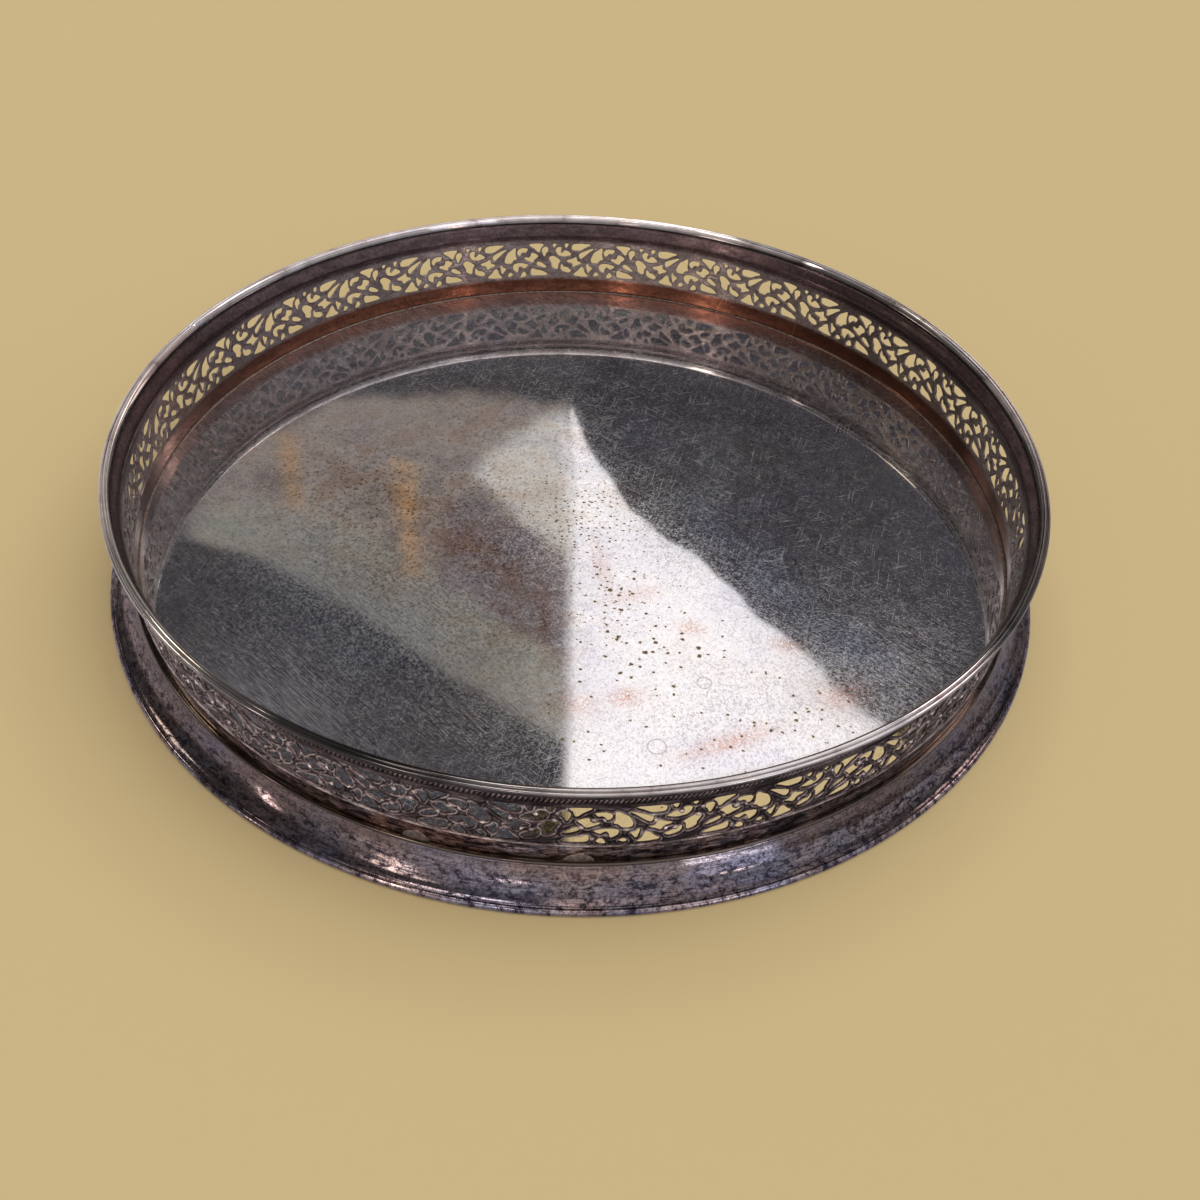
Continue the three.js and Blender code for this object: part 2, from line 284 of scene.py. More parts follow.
def mirrorSilverPlate(settings):
    # Electroplated silver, buffed to a mirror and since tarnished. The eye gets a clear reflection
    # under a thin grey-violet film, broken by pale flecks and hair scratches that scatter the
    # light, with small olive-brown pits, and pink where the copper comes through.
    material, add, place = metalStart("tarnished mirror silver plate")
    clouds = add("TexNoise", {"Vector": place, "Scale": 1 / 42, "Detail": 4, "Roughness": 0.6})
    patches = add("TexNoise", {"Vector": place, "Scale": 1 / 13, "Detail": 3, "Roughness": 0.6})
    # Wiping marks: the real ones are some hundredths of a millimetre wide, drawn 0.2 mm to show.
    # A point is marked or clear, hardly between, so the mirror left between the marks stays sharp.
    worn = add("MapRange", {0: patches, 1: 0.36, 2: 0.64, 3: 0.015, 4: 0.045})
    hazy = add("Attribute", attribute_name="haze")
    wear = add("Math", {0: hazy, 1: 0.11, 2: worn}, operation="MULTIPLY_ADD")
    scatter = None
    for angle, length, width in settings["wipings"]:
        lie = add("Mapping", {"Vector": place, "Location": (angle, 0, 0),
                              "Rotation": (0, 0, math.radians(angle)), "Scale": (length, width, 1)},
                  vector_type="TEXTURE")
        noise = add("TexNoise", {"Vector": lie, "Scale": 1.0, "Detail": 2})
        lifted = add("Math", {0: noise, 1: wear}, operation="ADD")
        mark = add("MapRange", {0: lifted, 1: 0.66, 2: 0.75, 4: 0.6})
        scatter = mark if scatter is None else add("Math", {0: scatter, 1: mark}, operation="MAXIMUM")
    # A grain with no lie besides: the real one is finer, drawn 0.7 mm from grain to grain to show
    shallow = add("VectorMath", {0: place, 1: (1, 0.8, 1)}, operation="MULTIPLY")
    grain = add("TexNoise", {"Vector": shallow, "Scale": 1 / 0.7, "Detail": 2, "Roughness": 0.7})
    worked = add("Math", {0: grain, 1: wear}, operation="ADD")
    worked = add("MapRange", {0: worked, 1: 0.58, 2: 0.68, 4: 0.42})
    coarse = add("Attribute", attribute_name="grain")
    worked = add("Math", {0: worked, 1: coarse}, operation="MULTIPLY")
    scatter = add("Math", {0: scatter, 1: worked}, operation="MAXIMUM")

    # Random fine scratches, bent a little, in three lies
    drift = add("TexNoise", {"Vector": place, "Scale": 1 / 30, "Detail": 1})
    bend = add("VectorMath", {0: drift.outputs["Color"], 1: (5, 5, 0), 2: place},
               operation="MULTIPLY_ADD")
    for angle, length, width in settings["scratches"]:
        lie = add("Mapping", {"Vector": bend, "Location": (3 * angle, 0, 0),
                              "Rotation": (0, 0, math.radians(angle)), "Scale": (length, width, 1)},
                  vector_type="TEXTURE")
        noise = add("TexNoise", {"Vector": lie, "Scale": 1.0, "Detail": 0})
        mark = add("MapRange", {0: noise, 1: 0.72, 2: 0.8, 4: 0.7})
        scatter = add("Math", {0: scatter, 1: mark}, operation="MAXIMUM")

    # The deep scratches one by one: off a parabola of the given bow by less than 0.13 mm
    for middleX, middleY, reach, angle, bow in settings["hairs"]:
        local = add("Mapping", {"Vector": place, "Location": (middleX, middleY, 0),
                                "Rotation": (0, 0, math.radians(angle))}, vector_type="TEXTURE")
        part = add("SeparateXYZ", {0: local})
        square = add("Math", {0: part.outputs[0], 1: part.outputs[0]}, operation="MULTIPLY")
        aside = add("Math", {0: square, 1: bow / reach ** 2, 2: part.outputs[1]},
                    operation="MULTIPLY_ADD")
        off = add("Math", {0: aside}, operation="ABSOLUTE")
        line = add("MapRange", {0: off, 1: 0.03, 2: 0.13, 3: 1.0, 4: 0.0})
        within = add("MapRange", {0: square, 1: reach ** 2 * 0.5, 2: reach ** 2, 3: 0.7, 4: 0.0})
        mark = add("Math", {0: line, 1: within}, operation="MULTIPLY")
        scatter = add("Math", {0: scatter, 1: mark}, operation="MAXIMUM")

    # Pits in two sizes: a cell's own luck and the zone's strength together have to pass 1, and set
    # how big its pit is
    ragged = add("TexNoise", {"Vector": place, "Scale": 1 / 0.6, "Detail": 1})
    pit = None
    halo = None
    for cell, zone, biggest, longer in settings["pitKinds"]:
        squeezed = add("VectorMath", {0: place, 1: (longer, 1, 1)}, operation="MULTIPLY")
        cells = add("TexVoronoi", {"Vector": squeezed, "Scale": 1 / cell, "Randomness": 1.0},
                    voronoi_dimensions="2D")
        luck = add("SeparateColor", {0: cells.outputs["Color"]})
        spread = add("Attribute", attribute_name=zone)
        chance = add("Math", {0: luck.outputs[0], 1: spread}, operation="ADD")
        size = add("MapRange", {0: chance, 1: 1.0, 2: 1.6, 3: 0.38 * biggest / cell, 4: biggest / cell})
        uneven = add("MapRange", {0: ragged, 1: 0.3, 2: 0.7, 3: -0.22 / cell, 4: 0.22 / cell})
        reach = add("Math", {0: size, 1: cells.outputs["Distance"]}, operation="SUBTRACT")
        edge = add("Math", {0: reach, 1: uneven}, operation="ADD")
        some = add("Math", {0: chance, 1: 1.0}, operation="GREATER_THAN")
        core = add("MapRange", {0: edge, 1: 0.0, 2: 0.08 / cell})
        ring = add("MapRange", {0: edge, 1: -0.25 / cell, 2: 0.0, 4: 0.4})
        core = add("Math", {0: core, 1: some}, operation="MULTIPLY")
        ring = add("Math", {0: ring, 1: some}, operation="MULTIPLY")
        pit = core if pit is None else add("Math", {0: pit, 1: core}, operation="MAXIMUM")
        halo = ring if halo is None else add("Math", {0: halo, 1: ring}, operation="MAXIMUM")

    # Drip rings: a thin ragged outline at each radius, a little film inside
    drip = None
    for ringX, ringY, radius in settings["rings"]:
        away = add("VectorMath", {0: place, 1: (ringX, ringY, settings["top"])}, operation="DISTANCE")
        wobble = add("Math", {0: patches, 1: 1.4, 2: away}, operation="MULTIPLY_ADD")
        off = add("Math", {0: wobble, 1: radius + 0.5}, operation="SUBTRACT")
        off = add("Math", {0: off}, operation="ABSOLUTE")
        mark = add("MapRange", {0: off, 1: 0.1, 2: 0.4, 3: 0.55, 4: 0.0})
        drip = mark if drip is None else add("Math", {0: drip, 1: mark}, operation="MAXIMUM")

    base = add("ValToRGB", {"Fac": clouds}, stops=[(0.36, "#d5cfcd"), (0.5, "#dedbda"),
                                                   (0.66, "#d5d2d7")])
    grainy = add("ValToRGB", {"Fac": grain}, stops=[(0.36, "#9c9b9e"), (0.46, "#e2e1e2"),
                                                    (0.54, "#ffffff")])
    base = add("Mix", {0: coarse, 6: base, 7: grainy}, **darkened)
    # Where the cloth left haze, its strokes show: long streaks in one lie, 0.3 mm wide to show
    lie = add("Mapping", {"Vector": place, "Rotation": (0, 0, math.radians(-42)), "Scale": (6, 0.3, 1)},
              vector_type="TEXTURE")
    strokes = add("TexNoise", {"Vector": lie, "Scale": 1.0, "Detail": 2})
    strokes = add("ValToRGB", {"Fac": strokes}, stops=[(0.38, "#858488"), (0.58, "#ffffff")])
    base = add("Mix", {0: hazy, 6: base, 7: strokes}, **darkened)
    crust = add("TexNoise", {"Vector": place, "Scale": 1 / 1.5, "Detail": 6, "Roughness": 0.8})
    dull = add("ValToRGB", {"Fac": crust}, stops=[(0.37, "#453b34"), (0.43, "#8f867e"),
                                                  (0.465, "#ffffff")])
    grime = add("ValToRGB", {"Fac": patches}, stops=[(0.42, "#e2d2c4"), (0.5, "#ffffff"),
                                                     (0.6, "#ccd1d9")])
    dull = add("Mix", {0: 1.0, 6: dull, 7: grime}, **darkened)
    spread = add("Attribute", attribute_name="mottle")
    base = add("Mix", {0: spread, 6: base, 7: dull}, **darkened)
    flaky = add("MapRange", {0: ragged, 1: 0.58, 2: 0.42, 3: 0.06, 4: 1.0})
    # Stain colours over the base; the edge colour is painted shade at the plate's rim under the wall
    for kind, colour in settings["stainsAndEdgeShade"].items():
        zone = add("Attribute", attribute_name=kind)
        if kind in ("copper", "dirt"):
            zone = add("Math", {0: zone, 1: flaky}, operation="MULTIPLY")
        base = add("Mix", {0: zone, 6: base, 7: toLinear(colour)}, **over)
    base = add("Mix", {0: drip, 6: base, 7: toLinear("#8d7b70")}, **over)
    base = add("Mix", {0: halo, 6: base, 7: toLinear("#ad8a62")}, **over)
    base = add("Mix", {0: pit, 6: base, 7: toLinear("#6b604a")}, **over)

    blocked = add("Math", {0: pit, 1: 0.9}, operation="MULTIPLY")
    gloss = add("Math", {0: scatter, 1: blocked}, operation="MAXIMUM")
    rough = add("MapRange", {0: gloss, 3: settings["clear"], 4: 0.34})
    metal = add("MapRange", {0: gloss, 3: 0.985, 4: 0.76})
    shader = add("BsdfPrincipled", {"Base Color": base, "Metallic": metal, "Roughness": rough})
    add("OutputMaterial", {"Surface": shader})
    return material


def makeFloorPlate(settings):
    # A disc as two grids in (radius, angle), top and underside, joined by a rounded edge. Height of
    # the sheet: small sums of sines of x and y, so the mirror bends straight reflections slightly.
    # A stain is exp(-q^2) of its own oval distance q.
    radius, top, under, edge = (settings[key] for key in ("radius", "top", "underside", "edgeRound"))
    rings = np.concatenate([np.linspace(2.0, 141.0, 64), np.linspace(141.6, radius - edge, 6)])
    corner = arcPoints(radius - edge, top - edge, edge, 90, -90, 9)[1:-1]
    corner[:, 1] = np.interp(corner[:, 1], [top - 2 * edge, top], [under, top])
    profile = np.concatenate([np.stack([rings, np.full(len(rings), top)], 1), corner,
                              np.stack([rings[::-1][::3], np.full(len(rings[::3]), under)], 1)])
    angle = np.linspace(0, 2 * np.pi, settings["segments"], endpoint=False)
    x = profile[:, :1] * np.cos(angle)
    y = profile[:, :1] * np.sin(angle)
    swell = np.sin(x / 23 + 1.0) + np.sin(y / 17 + x / 41) + np.sin(y / 31 - x / 19)
    z = profile[:, 1:] + settings["waves"] * swell
    points = np.concatenate([np.stack([x, y, z], 2).reshape(-1, 3), [[0, 0, top], [0, 0, under]]])
    rows, columns = len(profile), settings["segments"]
    quads = gridFaces(rows, columns, True)
    spin = np.arange(columns)
    after = (spin + 1) % columns
    last = (rows - 1) * columns
    centre = rows * columns
    capTop = np.stack([np.full(columns, centre), spin, after], 1)
    capUnder = np.stack([np.full(columns, centre + 1), last + after, last + spin], 1)
    values = {}
    for kind in ("copper", "dirt", "blue", "pits", "flecks", "haze", "grain", "mottle"):
        total = np.zeros(len(points))
        for placeX, placeY, length, width, slant, strength in settings[kind]:
            dx, dy = points[:, 0] - placeX, points[:, 1] - placeY
            c, s = math.cos(math.radians(slant)), math.sin(math.radians(slant))
            oval = ((dx * c + dy * s) / length) ** 2 + ((dy * c - dx * s) / width) ** 2
            total = np.maximum(total, strength * np.exp(-oval))
        values[kind] = total
    away = np.hypot(points[:, 0], points[:, 1])
    # Beside the back wall the cloth's edge leaves more haze
    beside = smoothStep(112, 136, away) * smoothStep(-60, 0, points[:, 1])
    beside = beside * (0.25 + 0.75 * smoothStep(70, 0, points[:, 0]))
    values["haze"] = np.maximum(values["haze"], 0.8 * beside)
    # Straw-yellow tarnish where a cloth doesn't reach: within some 20 mm behind the front wall,
    # less to the right, under the rim, and seen from in front through the openings
    behind = points[:, 1] + np.sqrt(np.maximum(142.0 ** 2 - points[:, 0] ** 2, 0))
    behind = behind + 0.1 * np.maximum(points[:, 0] - 50, 0)
    straw = smoothStep(24, 17, behind) * smoothStep(-14, -4, points[:, 0]) * smoothStep(112, 95,
                                                                                        points[:, 0])
    values["straw"] = straw * smoothStep(141.6, 141.2, away)
    # Painted shade: the plate's rim under and beyond the wall, between wall and foot, is darkened
    values["edge"] = smoothStep(141.6, 142.2, away)
    buildPiece("mirror_floor", points, [quads, capTop, capUnder], mirrorSilverPlate(settings),
               ["floor_plate"], values)


makeFloorPlate(floorPlate)
print("floor plate made")


# Solder, in a line round the wall's foot
def dullSolder():
    # Soft solder run out over the silver: a grey, slightly grainy skin that scatters the light.
    material, add, place = metalStart("dull soft solder")
    fine = add("TexNoise", {"Vector": place, "Scale": 1 / 1.4, "Detail": 4, "Roughness": 0.6})
    film = add("ValToRGB", {"Fac": fine}, stops=[(0.35, "#54493f"), (0.6, "#857a72")])
    shader = add("BsdfPrincipled", {"Base Color": film, "Metallic": 0.85, "Roughness": 0.42})
    add("OutputMaterial", {"Surface": shader})
    return material


solderMetal = dullSolder()

wallJoint = {"outer": 141.9, "reach": 0.75, "rise": 0.5, "foot": 10.9, "segments": 720}


def makeWallJoint(settings):
    # The line of solder run into the corner between floor and wall: a quarter round, drawn thin
    # and thick by slow waves round the tray.
    steps = np.linspace(0, np.pi / 2, 7)
    curve = np.stack([settings["outer"] - settings["reach"] * (1 - np.sin(steps)) ** 0.9,
                      settings["foot"] + settings["rise"] * (1 - np.cos(steps)) ** 0.9], 1)
    outline = np.concatenate([curve, [[settings["outer"], settings["foot"]]]])

    def ripple(shape, angle):
        inwards = (settings["outer"] - shape[:, :1]) / settings["reach"]
        return -0.12 * inwards * waves(angle, 3, (5, 11, 23, 41), 1.0), 0

    points, faces, _ = turn(outline, settings["segments"], ripple)
    buildPiece("floor_joint", points, faces, solderMetal)


makeWallJoint(wallJoint)
print("wall joint made")


# Pierced gallery
def oxidisedPiercedSilver():
    # Stamped and pierced strip, silvered, darkened with years: near black in the hollows and
    # pinkish grey where hands rub the raised edges, with black blotches drawn out round the tray;
    # inside, a violet-brown film above, darkened in the cove under the rim as painted shade, and
    # bare copper showing below.
    material, add, place = metalStart("oxidised silver over copper")
    relief = add("Attribute", attribute_name="relief")
    inside = add("Attribute", attribute_name="inside")
    height = add("Attribute", attribute_name="height")
    drawn = add("VectorMath", {0: place, 1: (1 / 8, 1 / 8, 1 / 2.2)}, operation="MULTIPLY")
    blotch = add("TexNoise", {"Vector": drawn, "Scale": 1.0, "Detail": 5, "Roughness": 0.65})
    fine = add("TexNoise", {"Vector": place, "Scale": 1 / 1.1, "Detail": 3, "Roughness": 0.65})
    outer = add("ValToRGB", {"Fac": relief}, stops=[(0.0, "#2f2728"), (0.3, "#6b5f5f"),
                                                    (0.5, "#a89b98"), (0.85, "#fbf1ea")])
    # Inside, by wall height: copper below, violet-brown film, and a darker painted shade under the rim
    inner = add("ValToRGB", {"Fac": height}, stops=[(0.0, "#94604a"), (0.19, "#744a3a"),
                                                    (0.24, "#968a86"), (0.76, "#8f8482"),
                                                    (0.82, "#4e3f40"), (1.0, "#645556")])
    kept = add("Attribute", attribute_name="kept")
    inner = add("Mix", {0: kept, 6: inner, 7: toLinear("#c9aca2")}, **over)
    broad = add("TexNoise", {"Vector": place, "Scale": 1 / 16, "Detail": 3, "Roughness": 0.6})
    band = add("ValToRGB", {"Fac": broad}, stops=[(0.4, "#b9b6bd"), (0.47, "#e6d6cd"),
                                                  (0.6, "#ddb9a8")])
    flat = add("VectorMath", {0: place, 1: (1 / 4, 1 / 4, 1 / 1.6)}, operation="MULTIPLY")
    burnt = add("TexNoise", {"Vector": flat, "Scale": 1.0, "Detail": 7, "Roughness": 0.7})
    burnt = add("ValToRGB", {"Fac": burnt}, stops=[(0.45, "#4a464e"), (0.49, "#d8cdc9"),
                                                   (0.58, "#ffffff")])
    band = add("Mix", {0: 1.0, 6: band, 7: burnt}, **darkened)
    low = add("MapRange", {0: height, 1: 0.19, 2: 0.23, 3: 1.0, 4: 0.0})
    outer = add("Mix", {0: low, 6: outer, 7: band}, **over)
    sides = add("Mix", {0: inside, 6: outer, 7: inner}, **over)
    tint = add("ValToRGB", {"Fac": blotch}, stops=[(0.42, "#474043"), (0.47, "#a89c9a"),
                                                   (0.6, "#ffffff")])
    depth = add("MapRange", {0: inside, 3: 0.85, 4: 0.4})
    base = add("Mix", {0: depth, 6: sides, 7: tint}, **darkened)
    dust = add("ValToRGB", {"Fac": fine}, stops=[(0.35, "#9b908e"), (0.55, "#ffffff")])
    base = add("Mix", {0: 0.6, 6: base, 7: dust}, **darkened)
    gloss = add("MapRange", {0: blotch, 1: 0.35, 2: 0.65, 3: 0.38, 4: 0.2})
    rubbed = add("MapRange", {0: height, 1: 0.19, 2: 0.23, 3: 0.5, 4: 1.0})
    gloss = add("Math", {0: gloss, 1: rubbed}, operation="MULTIPLY")
    grit = add("Bump", {"Strength": 0.3, "Distance": 0.0001, "Height": fine})
    shader = add("BsdfPrincipled", {"Base Color": base, "Metallic": 0.97, "Roughness": gloss,
                                    "Normal": grit})
    add("OutputMaterial", {"Surface": shader})
    return material


galleryMetal = oxidisedPiercedSilver()

# Sizes in mm, heights from the table
gallery = {
    "outside": 142.5,      # radius of the upright wall
    "sheet": 0.7,
    "trim": 0.17,          # filed off all round each opening
    "foot": 10.9,
    "piercedFoot": 17.7,
    "piercedHeight": 15.0,
    "coveFoot": 35.6,
    "coveRise": 4.6,
    "coveFlare": 2.6,
    "repeats": 25,
    "pieces": 5,           # the wall is shown in this many, each of as many repeats
    "cells": 128,          # grid cells along one repeat
    "start": 0.0235,       # a line up the repeat that meets no opening
    "keptAngle": 178,      # where the silver still covers the foot of the wall inside, degrees from +X
    # How much lighter the raised edges are rubbed, by angle in degrees from +X
    "handled": [(-90, 0), (-70, -0.08), (-40, -0.06), (0, 0), (180, 0.14), (235, 0.12), (262, 0.02),
                (270, 0)],
    "ridge": 0.20,         # height of the raised edges of the scrolls
    "ball": 0.78,          # radius of the balls at the ends of the volutes
}

# Openings of one repeat as seen from outside: how far along it, and how far up the piercing
openings = {
    "topWedge": [(0.092, 0.976), (0.241, 0.976), (0.179, 0.84), (0.136, 0.745), (0.117, 0.86)],
    "scrollEye": [(0.038, 0.876), (0.073, 0.884), (0.096, 0.8), (0.073, 0.621), (0.056, 0.711),
                  (0.034, 0.78)],
    "stemGap": [(0.892, 0.485), (0.964, 0.617), (1.012, 0.571), (0.984, 0.402), (0.979, 0.312),
                (0.922, 0.242), (0.911, 0.392)],
    "budGap": [(0.148, 0.637), (0.214, 0.721), (0.231, 0.617), (0.262, 0.577), (0.282, 0.601),
               (0.297, 0.557), (0.254, 0.497), (0.207, 0.451), (0.186, 0.525)],
    "upperVolute": [(0.269, 0.844), (0.315, 0.868), (0.358, 0.848), (0.382, 0.77), (0.373, 0.685),
                    (0.352, 0.661), (0.337, 0.725), (0.311, 0.76), (0.288, 0.751)],
    "broadLeaf": [(0.41, 0.876), (0.454, 0.81), (0.496, 0.731), (0.526, 0.561), (0.518, 0.451),
                  (0.464, 0.437), (0.428, 0.531), (0.398, 0.561), (0.41, 0.681)],
    "lowLeaf": [(0.05, 0.298), (0.092, 0.402), (0.141, 0.457), (0.154, 0.382), (0.088, 0.298)],
    "lowWedge": [(0.039, 0.067), (0.096, 0.178), (0.16, 0.214), (0.216, 0.252), (0.22, 0.082),
                 (0.16, 0.051)],
    "lowerVolute": [(0.263, 0.366), (0.311, 0.412), (0.36, 0.431), (0.413, 0.406), (0.432, 0.342),
                    (0.424, 0.242), (0.382, 0.172), (0.375, 0.252), (0.356, 0.338), (0.326, 0.322),
                    (0.303, 0.282)],
    "footEyelet": [(0.284, 0.082), (0.308, 0.166), (0.333, 0.098), (0.342, 0.013), (0.303, 0.027)],
    "dropEyelet": [(0.441, 0.092), (0.469, 0.156), (0.493, 0.072), (0.473, 0.047)],
    "stemEyelet": [(0.522, 0.282), (0.56, 0.342), (0.573, 0.398), (0.579, 0.358), (0.573, 0.252),
                   (0.56, 0.142), (0.541, 0.206)],
    "footWedge": [(0.632, 0.302), (0.688, 0.162), (0.724, 0.059), (0.613, 0.019), (0.567, 0.043),
                  (0.601, 0.132)],
    "topSliver": [(0.551, 0.976), (0.73, 0.976), (0.749, 0.83), (0.692, 0.8), (0.65, 0.816), (0.601, 0.89)],
    "longLeaf": [(0.511, 0.85), (0.56, 0.82), (0.662, 0.691), (0.654, 0.561), (0.613, 0.625),
                 (0.564, 0.737)],
    "tendrilGap": [(0.647, 0.421), (0.692, 0.481), (0.707, 0.591), (0.735, 0.551), (0.8, 0.497),
                   (0.801, 0.457), (0.75, 0.406), (0.732, 0.318), (0.692, 0.362)],
    "curlGap": [(0.767, 0.681), (0.826, 0.788), (0.866, 0.705), (0.89, 0.751), (0.877, 0.856),
                (0.907, 0.88), (0.933, 0.83), (0.931, 0.751), (0.907, 0.661), (0.85, 0.621),
                (0.801, 0.637)],
    "rightEyelet": [(0.798, 0.976), (0.835, 0.976), (0.824, 0.876)],
    "farEyelet": [(0.937, 0.97), (0.973, 0.97), (0.961, 0.896)],
    "lowCurl": [(0.767, 0.198), (0.809, 0.282), (0.848, 0.302), (0.869, 0.378), (0.878, 0.282),
                (0.86, 0.192), (0.794, 0.138)],
}
voluteBalls = [(0.009, 0.83), (0.262, 0.691), (0.337, 0.681), (0.175, 0.481), (0.352, 0.272), (0.25, 0.162),
               (0.492, 0.421), (0.681, 0.621), (0.756, 0.372), (0.83, 0.366), (0.86, 0.784), (0.986, 0.641)]


def closedCurve(corners, steps):
    # Catmull-Rom curve through the corners and back to the first
    p0, p1, p2, p3 = (np.roll(corners, shift, 0)[:, None] for shift in (1, 0, -1, -2))
    t = np.linspace(0, 1, steps, endpoint=False)[None, :, None]
    curve = 0.5 * (2 * p1 + (p2 - p0) * t + (2 * p0 - 5 * p1 + 4 * p2 - p3) * t ** 2
                   + (3 * p1 - p0 - 3 * p2 + p3) * t ** 3)
    return curve.reshape(-1, 2)


def metalDepth(along, up, pitch, rise):
    # Distance in mm from each point of the grid to the nearest opening: positive in the metal and
    # negative in an opening. Each repeat also feels its two neighbours' openings.
    depth = np.full(along.shape, 9.0)
    for corners in openings.values():
        curve = closedCurve(np.array(corners) * [pitch, rise], 6)
        for shift in (-pitch, 0.0, pitch):
            depth = np.minimum(depth, -depthWithin(along + shift, up, curve))
    return depth


# Cells cut by an edge of the metal. A cell's corners are a b c d, anticlockwise from lower left, and
# its sides' crossing points are 4 to 7; each case lists its triangles, then its cut edges.
cutCases = {
    1: ([(0, 4, 7)], [(4, 7)]), 2: ([(1, 5, 4)], [(5, 4)]), 3: ([(0, 1, 5), (0, 5, 7)], [(5, 7)]),
    4: ([(2, 6, 5)], [(6, 5)]), 5: ([(0, 4, 7), (2, 6, 5)], [(4, 7), (6, 5)]),
    6: ([(1, 2, 6), (1, 6, 4)], [(6, 4)]), 7: ([(0, 1, 2), (0, 2, 6), (0, 6, 7)], [(6, 7)]),
    8: ([(3, 7, 6)], [(7, 6)]), 9: ([(0, 4, 6), (0, 6, 3)], [(4, 6)]),
    10: ([(1, 5, 4), (3, 7, 6)], [(5, 4), (7, 6)]), 11: ([(0, 1, 5), (0, 5, 6), (0, 6, 3)], [(5, 6)]),
    12: ([(2, 3, 7), (2, 7, 5)], [(7, 5)]), 13: ([(0, 4, 5), (0, 5, 2), (0, 2, 3)], [(4, 5)]),
    14: ([(1, 2, 3), (1, 3, 7), (1, 7, 4)], [(7, 4)]), 15: ([(0, 1, 2), (0, 2, 3)], []),
}


